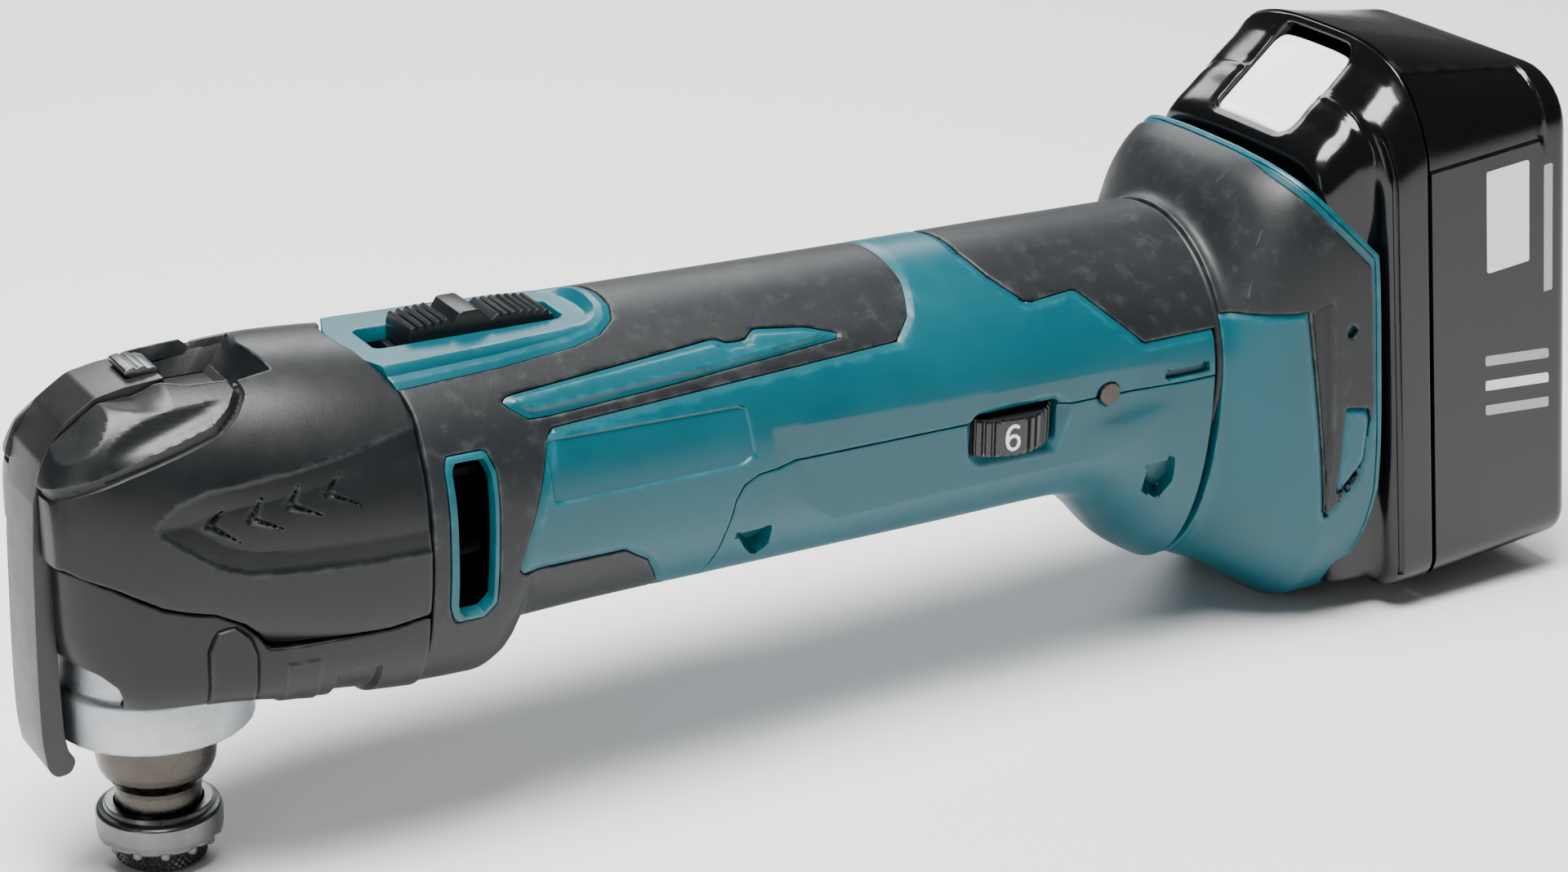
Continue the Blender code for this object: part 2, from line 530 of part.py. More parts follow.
for side, s in (("left", -1), ("right", 1)):
    ya, yb = sorted((s * 12.4, s * 24.0))
    bh = box("brush_holder_" + side, "brass", (111.0, ya, 66.0), (121.0, yb, 74.0))
    hole = box("brush_slot_" + side, None, (112.4, -30, 67.4), (119.6, 30, 72.6), where=cutters)
    cut(bh, hole)
    ya, yb = sorted((s * 9.9, s * 20.0))
    box("carbon_brush_" + side, "carbon", (112.7, ya, 67.7), (119.3, yb, 72.3))
rotor_empty = pivot("motor_axis", 100, 0, AXIS_Z)
ride(rotor_empty, shaft, eccentric_bearing, balance, armature, commutator, fan)

# ---------------------------------------------------------------- motor housing and covers
hull_out = stations(BODY, 0.0)
hull_in = stations(BODY, WALL, 34.0, BODY_END_X + 2.0)
skin_in = stations(BODY, SKIN + 0.15, 34.0, BODY_END_X + 2.0)
skin_seat = stations(BODY, SKIN + 0.45, 34.0, BODY_END_X + 2.0)

LOWER_LINE = [(112.0, -20), (112.0, 46.0), (112.2, 58.0), (113.0, 66.5), (115.6, 69.9), (240, 71.2), (240, -20)]
FRONT_SKIN = [(30.0, 120), (30.0, 20), (98.0, 20), (93.0, 44.0), (88.1, 58.3), (65.2, 57.0), (71.6, 85.5),
              (154.4, 88.7), (158.6, 94.5), (160.2, 99.5), (159.6, 120)]
REAR_SKIN = [(177.0, 120), (177.6, 98.5), (178.7, 98.0), (185.1, 92.2), (198.8, 92.2), (212.3, 80.4), (240, 80.8), (240, 120)]
PANEL = [(30.0, -19.2), (46.5, -19.0), (67.2, -17.9), (84.0, -16.2), (90.5, -14.4), (94.6, -11.2), (96.4, -6.5), (96.8, 0.0),
         (96.4, 6.5), (94.6, 11.2), (90.5, 14.4), (84.0, 16.2), (67.2, 17.9), (46.5, 19.0), (30.0, 19.2)]
SLOT = [(46.2, -5.2), (47.2, -6.2), (85.4, -6.2), (86.8, -4.8), (86.8, 4.8), (85.4, 6.2), (47.2, 6.2), (46.2, 5.2)]

joint_cut = prism("joint_cut", None, [(10.0, 0.0)] + [(x, z) for x, z in JOINT_LINE] + [(10.0, 120.0)], 'Y', -60, 60, where=cutters)
motor_housing = loft("motor_housing", "teal_plastic", hull_out)
motor_void = loft("motor_hollow", None, hull_in, where=cutters)
seat_ring = loft("skin_seat", None, stations(BODY, -4.0, 35.0, BODY_END_X + 1.0), where=cutters)
seat_core = loft("skin_core", None, skin_seat, where=cutters)
cut(seat_ring, seat_core)
panel_cut = prism("panel_zone", None, PANEL, 'Z', 84, 130, where=cutters)
front_zone_wide = prism("front_skin_zone", None, offset_poly(FRONT_SKIN, 0.15), 'Y', -60, 60, where=cutters)
panel_small = prism("panel_zone_small", None, offset_poly(PANEL, -0.15), 'Z', 84, 130, where=cutters)
cut(front_zone_wide, panel_small)
rear_zone_wide = prism("rear_skin_zone", None, offset_poly(REAR_SKIN, 0.15), 'Y', -60, 60, where=cutters)
front_seat = loft("front_skin_seat", None, stations(BODY, -4.0, 35.0, BODY_END_X + 1.0), where=cutters)
cut(front_seat, seat_core)
keep(front_seat, front_zone_wide)
rear_seat = loft("rear_skin_seat", None, stations(BODY, -4.0, 35.0, BODY_END_X + 1.0), where=cutters)
cut(rear_seat, seat_core)
keep(rear_seat, rear_zone_wide)
lower_zone_wide = prism("lower_zone", None, offset_poly(LOWER_LINE, 0.15), 'Y', -60, 60, where=cutters)
slot_cut = prism("switch_slot", None, SLOT, 'Z', 90, 120, where=cutters)
dial_window = box("dial_window", None, (169.2, -40, 61.0), (190.4, -10, 71.0), where=cutters)
dial_room = cyl("dial_room", None, DIAL_R + 0.6, 9.6, DIAL_C, 'Z', 40, where=cutters)
vent_l = prism("vent_left", None, [(52.8, 50.0), (59.8, 52.0), (60.6, 82.0), (53.4, 84.0)], 'Y', -45, -18, where=cutters)
vent_r = prism("vent_right", None, [(52.8, 50.0), (59.8, 52.0), (60.6, 82.0), (53.4, 84.0)], 'Y', 18, 45, where=cutters)
screw_l = cyl("screw_hole_left", None, 3.1, 16, (202.6, -32, 71.0), 'Y', 24, where=cutters)
screw_r = cyl("screw_hole_right", None, 3.1, 16, (202.6, 32, 71.0), 'Y', 24, where=cutters)
cut(motor_housing, motor_void, joint_cut, lower_zone_wide, front_seat, rear_seat, slot_cut, dial_window, dial_room, vent_l, vent_r, screw_l, screw_r)

lower_cover = loft("lower_cover", "teal_plastic", hull_out)
lower_zone = prism("lower_zone_small", None, offset_poly(LOWER_LINE, -0.15), 'Y', -60, 60, where=cutters)
keep(lower_cover, lower_zone)
cut(lower_cover, motor_void, dial_window, dial_room, screw_l, screw_r)

front_overmould = loft("front_overmould", "black_rubber", stations(BODY, 0.0))
skin_core = loft("skin_core_thin", None, skin_in, where=cutters)
front_zone = prism("front_skin_zone_small", None, offset_poly(FRONT_SKIN, -0.15), 'Y', -60, 60, where=cutters)
panel_big = prism("panel_zone_big", None, offset_poly(PANEL, 0.15), 'Z', 84, 130, where=cutters)
keep(front_overmould, front_zone)
cut(front_overmould, skin_core, joint_cut, panel_big, vent_l, vent_r)
rear_overmould = loft("rear_overmould", "black_rubber", stations(BODY, 0.0))
rear_zone = prism("rear_skin_zone_small", None, offset_poly(REAR_SKIN, -0.15), 'Y', -60, 60, where=cutters)
keep(rear_overmould, rear_zone)
cut(rear_overmould, skin_core)

# slide switch on top, its rod and the switch in the rear
KNOB = [(50.6, 97.4), (50.6, 102.6), (51.4, 103.2), (61.0, 101.8), (63.8, 103.5), (68.4, 103.5), (71.4, 101.5), (84.0, 101.6), (84.8, 100.6), (84.8, 97.4)]
switch_knob = prism("switch_knob", "black_plastic", KNOB, 'Y', -5.8, 5.8, bevel=0.5)
switch_rod = box("switch_rod", "black_plastic", (52.0, -4.6, 95.2), (148.0, 4.6, 96.9))
switch_empty = pivot("switch_axis", 68, 0, 98)
ride(switch_empty, switch_knob, switch_rod)
switch_unit = box("switch_unit", "black_plastic", (145.0, -9.0, 72.0), (164.0, 9.0, 94.6), bevel=0.8)
speed_dial = turned("speed_dial", "gloss_black", [(0, 4.3), (DIAL_R - 0.8, 4.3), (DIAL_R, 3.5), (DIAL_R, -3.5), (DIAL_R - 0.8, -4.3), (0, -4.3)], DIAL_C, segs=40)
dial_empty = pivot("dial_axis", *DIAL_C)
ride(dial_empty, speed_dial)
dial_board = box("dial_board", "board_green", (168.0, -27.0, 72.0), (190.0, -6.0, 73.6))
controller = box("controller", "black_plastic", (194.0, -15.0, 50.0), (225.0, 15.0, 67.0), bevel=1.0)
joint_ring = turned("joint_ring", "black_rubber", [(24.5, 232.9), (29.2, 232.9), (29.2, BODY_END_X + 0.3), (24.5, BODY_END_X + 0.3)], (0, 0, AXIS_Z), 'X', segs=48, closed=True)
for side, s in (("left", -1), ("right", 1)):
    cyl("housing_screw_" + side, "dark_steel", 2.6, 5.0, (202.6, s * 27.4, 71.0), 'Y', 20, bevel=0.3)
led_lens = box("led_lens", "clear_lens", (24.0, -7.0, 33.6), (31.0, 7.0, 38.4), bevel=0.8)
led_seat = box("led_seat", None, (23.6, -7.4, 20.0), (31.4, 7.4, 42.8), where=cutters)
cut(head_lower_cover, led_seat)
led_board = box("led_board", "board_green", (24.6, -6.0, 38.9), (30.4, 6.0, 40.2))

# ---------------------------------------------------------------- rear housing
REAR = [
    (233.3, 30.5, 100.9, 19.4, 2.0, 2.2),
    (238.0, 32.8, 107.2, 18.2, 2.5, 2.4),
    (242.0, 34.6, 111.2, 17.4, 3.2, 2.6),
    (248.0, 36.2, 114.4, 14.6, 3.8, 2.8),
    (254.0, 36.7, 116.6, 9.4, 4.0, 3.0),
    (259.0, 36.8, 117.0, 6.4, 4.0, 3.2),
    (266.0, 36.8, 117.0, 6.4, 4.0, 3.2),
    (276.0, 36.8, 117.0, 10.0, 4.0, 3.2),
]
# what lies behind the housing's rim, seen from the side
RIM = [(247.4, 113.8), (256.6, 103.6), (267.0, 93.6), (272.4, 38.0), (271.8, 28.0), (269.4, 18.0), (266.6, 9.0), (266.6, -20), (330, -20), (330, 160), (247.4, 160)]


def bat_poly(pts):
    return [(B(l, d)[0], B(l, d)[2]) for l, d in pts]


rim_cut = prism("rim_zone", None, RIM, 'Y', -60, 60, where=cutters)
slide_room = prism("slide_room", None, bat_poly([(-45, 63.4), (110.6, 63.4), (110.6, 30), (-45, 30)]), 'Y', -31.0, 31.0, where=cutters)
rear_void_rings = stations(REAR, 3.0, 232.0, 278.0)
SKIN_ZONE = [(233.0, 83.4), (248.3, 83.2), (257.9, 33.1), (266.0, 42.5), (268.6, 60.0), (265.2, 91.6), (255.4, 101.2), (246.2, 111.4), (245.0, 125), (225.0, 125), (225.0, 83.4)]
rear_skin_void = loft("rear_skin_core", None, stations(REAR, SKIN, 232.0, 278.0), where=cutters)
halves = {}
for side, s in (("left", -1), ("right", 1)):
    h = loft("rear_housing_" + side, "teal_plastic", stations(REAR, 0.0))
    v = loft("rear_hollow_" + side, None, rear_void_rings, where=cutters)
    ya, yb = sorted((s * 0.12, s * 60.0))
    half = box("rear_half_" + side, None, (220, ya, -10), (300, yb, 140), where=cutters)
    seat = loft("rear_seat_" + side, None, stations(REAR, -4.0, 232.0, 278.0), where=cutters)
    seat_core = loft("rear_seat_core_" + side, None, stations(REAR, SKIN + 0.5, 231.0, 279.0), where=cutters)
    cut(seat, seat_core)
    zone = prism("rear_zone_" + side, None, offset_poly(SKIN_ZONE, 0.15), 'Y', -60, 60, where=cutters)
    keep(seat, zone)
    keep(h, half)
    cut(h, seat, v, rim_cut, slide_room)
    halves[side] = h
rear_grip = loft("rear_grip", "black_rubber", stations(REAR, 0.0))
grip_zone = prism("grip_zone", None, offset_poly(SKIN_ZONE, -0.15), 'Y', -60, 60, where=cutters)
keep(rear_grip, grip_zone)
rim_cut_wide = prism("rim_zone_wide", None, offset_poly(RIM, 0.4), 'Y', -60, 60, where=cutters)
cut(rear_grip, rear_skin_void, rim_cut_wide)
screw_hole_rear_l = cyl("rear_screw_hole_left", None, 2.4, 14, (261.0, -36, 76.5), 'Y', 20, where=cutters)
screw_hole_rear_r = cyl("rear_screw_hole_right", None, 2.4, 14, (261.0, 36, 76.5), 'Y', 20, where=cutters)
cut(rear_grip, screw_hole_rear_l, screw_hole_rear_r)
cut(halves["left"], screw_hole_rear_l)
cut(halves["right"], screw_hole_rear_r)
for side, s in (("left", -1), ("right", 1)):
    cyl("rear_screw_" + side, "dark_steel", 2.1, 3.4, (261.0, s * 33.2, 76.5), 'Y', 18)

terminal_block = prism("terminal_block", "black_plastic", bat_poly([(30, 63.9), (86, 63.9), (86, 72.0), (30, 72.0)]), 'Y', -24.0, 24.0)
blade_hole = prism("blade_hole", None, bat_poly([(39.6, 60.0), (60.4, 60.0), (60.4, 80.0), (39.6, 80.0)]), 'Y', -15.6, -14.0, where=cutters)
blade_hole2 = prism("blade_hole_two", None, bat_poly([(39.6, 60.0), (60.4, 60.0), (60.4, 80.0), (39.6, 80.0)]), 'Y', 14.0, 15.6, where=cutters)
cut(terminal_block, blade_hole, blade_hole2)
for name, s in (("terminal_positive", -1), ("terminal_negative", 1)):
    ya, yb = sorted((s * 14.3, s * 15.3))
    prism(name, "brass", bat_poly([(40, 54.5), (60, 54.5), (60, 74.0), (40, 74.0)]), 'Y', ya, yb)

# ---------------------------------------------------------------- battery
def bat_box(name, mat, l0, l1, d0, d1, y0, y1, bevel=0.0, segs=2, where=None):
    x, _, z = B((l0 + l1) / 2, (d0 + d1) / 2)
    bm = bmesh.new()
    bmesh.ops.create_cube(bm, size=1.0)
    for v in bm.verts:
        v.co = Vector((v.co.x * (d1 - d0) * MM, v.co.y * (y1 - y0) * MM, v.co.z * (l1 - l0) * MM))
    ob = from_bm(bm, name, mat, where, W(x, (y0 + y1) / 2, z))
    ob.rotation_euler = (0, -BAT_TILT, 0)
    if bevel:
        b = ob.modifiers.new("edges", 'BEVEL')
        b.width = bevel * MM
        b.segments = segs
        b.limit_method = 'ANGLE'
    return ob


# case: rounded block, its top crowned towards the seam, hollow and open at the seam
CASE_ROWS = [(0.0, 3.0), (0.9, 1.2), (3.2, 0.0), (20.0, 0.0), (SEAM_D - 0.12, 0.0)]


def crown_at(d):
    """Height of the crown of the battery's end, and where its sides start."""
    return 0.4 + 12.4 * max(0.0, d - 1.0) / (SEAM_D - 1.0), 0.6 + 0.7 * d / SEAM_D


def bat_ring(d, inset=0.0, hw=BAT_HW, l_bot=BAT_L, crown=None, l_side=None, r_top=12.0, r_bot=7.5, nc=4, nt=10, pc=3.4):
    """Rounded rectangle across the battery at depth d with a crowned top side."""
    c0, s0 = crown_at(d)
    crown = c0 if crown is None else crown
    l_side = s0 if l_side is None else l_side
    a = hw - inset
    l0, l1 = l_side + inset, l_bot - inset
    pts = []

    def arc(cy, cl, r, t0, t1):
        for i in range(nc + 1):
            t = math.radians(t0 + (t1 - t0) * i / nc)
            pts.append((cy + r * math.cos(t), cl + r * math.sin(t)))
    arc(a - r_bot, l1 - r_bot, r_bot, 0, 90)
    arc(-a + r_bot, l1 - r_bot, r_bot, 90, 180)
    arc(-a + r_top, l0 + r_top, r_top, 180, 270)
    for i in range(1, nt):
        y = (-a + r_top) + (2 * a - 2 * r_top) * i / nt
        pts.append((y, l0))
    arc(a - r_top, l0 + r_top, r_top, 270, 360)
    out = []
    for y, l in pts:
        if l < (l0 + l1) / 2:
            f = max(0.0, 1.0 - (abs(y) / (a + 0.01)) ** pc)
            l -= crown * f
        out.append(B(l, d, y))
    return out


battery_case = loft("battery_case", "gloss_black", [bat_ring(d, inset) for d, inset in CASE_ROWS])
case_void = bat_box("case_hollow", None, 6.0, 109.4, 2.6, 50.0, -33.0, 33.0, where=cutters)
cut(battery_case, case_void)

COVER_D = 62.6
battery_cover = loft("battery_cover", "gloss_black",
                     [bat_ring(SEAM_D + 0.12), bat_ring(41.4, 0.2, l_bot=113.0, crown=9.3, l_side=1.7, pc=2.8), bat_ring(49.0, 0.3, l_bot=112.6, crown=6.3, l_side=4.4, pc=3.2),
                      bat_ring(51.2, 1.8, l_bot=112.4, crown=5.4, l_side=5.0, pc=3.2)])
beak = loft("cover_front", None,
            [bat_ring(42.0, hw=30.6, crown=1.4, l_side=-5.9, l_bot=111.0, r_top=7, r_bot=6, pc=4.0), bat_ring(50.0, hw=30.6, crown=1.4, l_side=-0.4, l_bot=111.0, r_top=7, r_bot=6, pc=4.0),
             bat_ring(57.0, 0.2, hw=30.6, crown=1.2, l_side=4.6, l_bot=110.4, r_top=7, r_bot=6, pc=4.0), bat_ring(62.6, 1.2, hw=30.6, crown=1.0, l_side=8.2, l_bot=109.0, r_top=7, r_bot=6, pc=4.0)], where=cutters)
join(battery_cover, beak)
cover_void = bat_box("cover_hollow", None, 22.0, 106.0, 36.0, 60.0, -27.6, 27.6, where=cutters)
# the release button slides in a well that runs along the rails


def along_rails(name, mat, y, d0, d1, l_lo, top_off, where=None, bevel=0.0):
    """Prism under the slanted face between depths d0 and d1, running down the rails."""
    def l_face(d):
        return -7.8 + 0.70 * (d - 40.0) + top_off
    pts = bat_poly([(l_face(d0), d0), (l_face(d1), d1), (l_lo, d1), (l_lo, d0)])
    return prism(name, mat, pts, 'Y', -y, y, where=where, bevel=bevel)


button_well = along_rails("button_well", None, 13.3, 40.4, 60.1, 30.0, -30.0, where=cutters)
battery_button = along_rails("battery_button", "white_plastic", 12.9, 40.8, 59.7, 24.0, 0.1)
blade_slots = [bat_box("blade_slot_%d" % i, None, 26.0, 112.5, 50.0, 66.0, s * 14.8 - 1.4, s * 14.8 + 1.4, where=cutters) for i, s in enumerate((-1, 1))]
cut(battery_cover, cover_void, button_well, *blade_slots)

cells = None
for i in range(5):
    for j in range(2):
        l = 10.0 + 10.5 + 17.9 * i
        d = 11.9 + 17.8 * j
        x, _, z = B(l, d)
        c = cyl("cell_pack" if cells is None else "cell_%d_%d" % (i, j), "cell_wrap" if cells is None else None, 9.15, 65.0, (x, 0, z), 'Y', 26,
                where=None if cells is None else cutters)
        if cells is None:
            cells = c
        else:
            join(cells, c)
battery_board = bat_box("battery_board", "board_green", 30.0, 96.0, 41.6, 43.0, -26.0, 26.0)
battery_empty = pivot("battery_axis", *B(56, 45), rot=(0, -BAT_TILT, 0))
button_empty = pivot("button_axis", *B(5, 50), rot=(0, -BAT_TILT, 0))
ride(battery_empty, battery_case, battery_cover, cells, battery_board)
ride(button_empty, battery_button)

bpy.context.view_layer.update()
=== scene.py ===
"""Cordless oscillating multi-tool: the looks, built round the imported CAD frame."""
import bpy
import bmesh
import json
import math
import numpy as np
from mathutils import Vector, Matrix


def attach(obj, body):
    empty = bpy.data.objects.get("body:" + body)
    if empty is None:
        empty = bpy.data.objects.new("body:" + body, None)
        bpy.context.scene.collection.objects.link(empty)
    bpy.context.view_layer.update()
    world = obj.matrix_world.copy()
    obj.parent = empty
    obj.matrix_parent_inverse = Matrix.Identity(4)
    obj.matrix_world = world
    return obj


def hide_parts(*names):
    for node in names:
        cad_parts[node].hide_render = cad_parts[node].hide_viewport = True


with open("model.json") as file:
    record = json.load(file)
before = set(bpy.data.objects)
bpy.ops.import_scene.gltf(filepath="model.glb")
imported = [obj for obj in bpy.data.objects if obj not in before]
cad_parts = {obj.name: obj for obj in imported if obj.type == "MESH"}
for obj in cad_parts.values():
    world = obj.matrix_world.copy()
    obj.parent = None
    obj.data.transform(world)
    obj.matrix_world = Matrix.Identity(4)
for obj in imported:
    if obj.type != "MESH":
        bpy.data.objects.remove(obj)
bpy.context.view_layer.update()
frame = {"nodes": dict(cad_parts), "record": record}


# ------------------------------------------------------------------ layout frame
# millimetres: x = 0, y = 0 on the spindle axis, +x towards the battery, motor axis at z = 70
OX, OZ = 151.44, -0.8
AXIS = 70.0
BETA = math.radians(6.47)
SB, CB = math.sin(BETA), math.cos(BETA)


def W(p):
    p = np.asarray(p, float)
    return np.stack([(p[..., 0] - OX) / 1000.0, p[..., 1] / 1000.0, (p[..., 2] - OZ) / 1000.0], -1)


def Bt(l, d, y):
    """Battery coordinates: l down along the rails, d forward from the back face."""
    l, d, y = np.broadcast_arrays(np.asarray(l, float), np.asarray(d, float), np.asarray(y, float))
    return np.stack([315.48 + l * SB - d * CB, y, 128.67 - l * CB - d * SB], -1)


# ------------------------------------------------------------------ materials
def nodes_of(name):
    m = bpy.data.materials.new(name)
    m.use_nodes = True
    nt = m.node_tree
    bs = nt.nodes["Principled BSDF"]
    return m, nt, bs


def tex_coords(nt, scale=(1, 1, 1)):
    tc = nt.nodes.new("ShaderNodeTexCoord")
    mp = nt.nodes.new("ShaderNodeMapping")
    mp.inputs["Scale"].default_value = scale
    nt.links.new(tc.outputs["Object"], mp.inputs["Vector"])
    return mp.outputs["Vector"]


def noise(nt, vec, scale, detail=3.0, rough=0.55):
    n = nt.nodes.new("ShaderNodeTexNoise")
    n.inputs["Scale"].default_value = scale
    n.inputs["Detail"].default_value = detail
    n.inputs["Roughness"].default_value = rough
    nt.links.new(vec, n.inputs["Vector"])
    return n.outputs["Fac"]


def remap(nt, val, a, b, lo, hi):
    r = nt.nodes.new("ShaderNodeMapRange")
    r.inputs["From Min"].default_value = a
    r.inputs["From Max"].default_value = b
    r.inputs["To Min"].default_value = lo
    r.inputs["To Max"].default_value = hi
    nt.links.new(val, r.inputs["Value"])
    return r.outputs["Result"]


def math_node(nt, op, a, b):
    m = nt.nodes.new("ShaderNodeMath")
    m.operation = op
    for i, v in enumerate((a, b)):
        if isinstance(v, (int, float)):
            m.inputs[i].default_value = v
        else:
            nt.links.new(v, m.inputs[i])
    m.use_clamp = op in ("MULTIPLY", "ADD")
    return m.outputs[0]


def mix_col(nt, fac, a, b):
    m = nt.nodes.new("ShaderNodeMix")
    m.data_type = 'RGBA'
    for sock, v in ((m.inputs[0], fac), (m.inputs[6], a), (m.inputs[7], b)):
        if isinstance(v, (int, float)):
            sock.default_value = v
        elif isinstance(v, tuple):
            sock.default_value = (v[0], v[1], v[2], 1)
        else:
            nt.links.new(v, sock)
    return m.outputs[2]


def bump(nt, bs, height, strength, dist, prev=None):
    b = nt.nodes.new("ShaderNodeBump")
    b.inputs["Strength"].default_value = strength
    b.inputs["Distance"].default_value = dist
    nt.links.new(height, b.inputs["Height"])
    if prev is not None:
        nt.links.new(prev, b.inputs["Normal"])
    return b.outputs["Normal"]


def plastic(name, col, rough, grain=0.25, grain_scale=3500.0, spread=0.12, wear=0.35, scuff=0.25, metal=0.0,
            wear_col=None, spec=0.5, coat=0.0, dust=0.0):
    """Moulded plastic or rubber: fine moulding grain, slow colour and gloss drift, fine scuffs, pale worn edges."""
    m, nt, bs = nodes_of(name)
    v = tex_coords(nt)
    slow = noise(nt, v, 38.0, 4.0)
    mid = noise(nt, v, 260.0, 4.0, 0.6)
    dark = tuple(c * (1 - spread) for c in col)
    lite = tuple(min(1.0, c * (1 + spread)) for c in col)
    base = mix_col(nt, remap(nt, slow, 0.3, 0.7, 0, 1), dark, lite)
    # scuffs: thin stretched streaks, broken up by a slow mask
    vs = tex_coords(nt, (240.0, 900.0, 60.0))
    streak = noise(nt, vs, 1.0, 6.0, 0.7)
    mask = remap(nt, noise(nt, v, 75.0, 2.0), 0.5, 0.66, 0, 1)
    sc = math_node(nt, 'MULTIPLY', remap(nt, streak, 0.63, 0.74, 0, 1), mask)
    sc = math_node(nt, 'MULTIPLY', sc, scuff)
    wc = wear_col or tuple(min(1.0, c * 1.7 + 0.05) for c in col)
    base = mix_col(nt, sc, base, wc)
    # worn edges from the mesh
    at = nt.nodes.new("ShaderNodeAttribute")
    at.attribute_name = "edge"
    e = math_node(nt, 'MULTIPLY', at.outputs["Fac"], remap(nt, mid, 0.42, 0.62, 0, 1))
    e = math_node(nt, 'MULTIPLY', e, wear)
    base = mix_col(nt, e, base, wc)
    if dust:
        base = mix_col(nt, math_node(nt, 'MULTIPLY', remap(nt, mid, 0.55, 0.8, 0, 1), dust), base, (0.35, 0.36, 0.36))
    nt.links.new(base, bs.inputs["Base Color"])
    r = remap(nt, math_node(nt, 'ADD', math_node(nt, 'MULTIPLY', slow, 0.6), math_node(nt, 'MULTIPLY', mid, 0.4)), 0.3, 0.7, max(0.02, rough - 0.07), min(1, rough + 0.07))
    r2 = math_node(nt, 'ADD', r, math_node(nt, 'MULTIPLY', sc, 0.3))
    nt.links.new(r2, bs.inputs["Roughness"])
    bs.inputs["Metallic"].default_value = metal
    bs.inputs["Specular IOR Level"].default_value = spec
    if coat:
        bs.inputs["Coat Weight"].default_value = coat
        bs.inputs["Coat Roughness"].default_value = 0.12
    g = noise(nt, v, grain_scale, 2.0, 0.6)
    n1 = bump(nt, bs, g, grain, 0.00008)
    n2 = bump(nt, bs, mid, 0.06, 0.0006, n1)
    nt.links.new(n2, bs.inputs["Normal"])
    return m


def metal(name, col, rough, kind="cast", grain=0.3):
    """Bare metal: cast and blasted, or turned with fine rings round the axis."""
    m, nt, bs = nodes_of(name)
    v = tex_coords(nt)
    slow = noise(nt, v, 90.0, 4.0)
    mid = noise(nt, v, 700.0, 4.0, 0.6)
    dark = tuple(c * 0.82 for c in col)
    lite = tuple(min(1.0, c * 1.12) for c in col)
    base = mix_col(nt, remap(nt, slow, 0.3, 0.7, 0, 1), dark, lite)
    at = nt.nodes.new("ShaderNodeAttribute")
    at.attribute_name = "edge"
    e = math_node(nt, 'MULTIPLY', at.outputs["Fac"], 0.5)
    base = mix_col(nt, e, base, tuple(min(1.0, c * 1.5 + 0.05) for c in col))
    nt.links.new(base, bs.inputs["Base Color"])
    nt.links.new(remap(nt, mid, 0.3, 0.7, max(0.05, rough - 0.08), rough + 0.08), bs.inputs["Roughness"])
    bs.inputs["Metallic"].default_value = 1.0
    if kind == "cast":
        g = noise(nt, v, 2600.0, 3.0, 0.7)
        n1 = bump(nt, bs, g, grain, 0.00015)
        n1 = bump(nt, bs, slow, 0.15, 0.0008, n1)
    else:
        vz = tex_coords(nt, (60.0, 60.0, 5200.0))
        g = noise(nt, vz, 1.0, 3.0, 0.6)
        n1 = bump(nt, bs, g, grain, 0.00005)
    nt.links.new(n1, bs.inputs["Normal"])
    return m


M = {}
M["teal"] = plastic("teal_moulded", (0.0, 0.070, 0.094), 0.36, grain=0.16, spread=0.10, wear=0.38, scuff=0.20, wear_col=(0.02, 0.20, 0.26), spec=0.42)
M["rubber"] = plastic("black_soft_grip", (0.0095, 0.0115, 0.013), 0.46, grain=0.30, grain_scale=2600, spread=0.18, wear=0.45, scuff=0.8, wear_col=(0.085, 0.095, 0.10), dust=0.05, spec=0.34)
M["black"] = plastic("black_nylon", (0.005, 0.0062, 0.0072), 0.38, grain=0.22, spread=0.14, wear=0.5, scuff=0.25, wear_col=(0.055, 0.062, 0.068), spec=0.36)
M["lever"] = plastic("lever_nylon", (0.009, 0.009, 0.0095), 0.42, grain=0.22, spread=0.14, wear=0.5, scuff=0.25, wear_col=(0.13, 0.13, 0.135))
M["gloss"] = plastic("gloss_black_moulding", (0.0022, 0.0022, 0.0026), 0.17, grain=0.03, spread=0.1, wear=0.25, scuff=0.08, wear_col=(0.03, 0.03, 0.033), spec=0.45)
M["dial"] = plastic("dial_black", (0.012, 0.012, 0.013), 0.25, grain=0.06, spread=0.1, wear=0.4, scuff=0.05, wear_col=(0.10, 0.10, 0.11))
M["dark"] = plastic("inner_black", (0.010, 0.010, 0.011), 0.55, grain=0.2, spread=0.1, wear=0.1, scuff=0.0)
M["white"] = plastic("white_moulding", (0.80, 0.83, 0.84), 0.30, grain=0.05, spread=0.02, wear=0.1, scuff=0.05, wear_col=(0.6, 0.62, 0.63))
M["ink_white"] = plastic("printed_white", (0.80, 0.82, 0.83), 0.40, grain=0.05, spread=0.03, wear=0.1, scuff=0.1, wear_col=(0.6, 0.62, 0.63))
M["ink_grey"] = plastic("printed_grey", (0.36, 0.38, 0.40), 0.38, grain=0.05, spread=0.05, wear=0.1, scuff=0.1, wear_col=(0.5, 0.5, 0.5))
M["cast"] = metal("cast_aluminium", (0.42, 0.445, 0.47), 0.46, "cast", 0.7)
M["steel"] = metal("ground_steel", (0.14, 0.145, 0.15), 0.34, "turned", 0.25)
M["bronze"] = metal("blackened_steel", (0.075, 0.068, 0.060), 0.27, "turned", 0.3)
M["knurl"] = metal("knurled_steel", (0.10, 0.095, 0.09), 0.36, "turned", 0.2)
M["copper"] = metal("copper_turned", (0.62, 0.28, 0.14), 0.35, "turned", 0.3)
M["brass"] = metal("brass_stamped", (0.62, 0.47, 0.2), 0.35, "cast", 0.2)
M["carbon"] = plastic("pressed_carbon", (0.02, 0.02, 0.021), 0.7, grain=0.5, scuff=0.1)
M["board"] = plastic("circuit_board", (0.012, 0.09, 0.035), 0.35, grain=0.2, scuff=0.1)
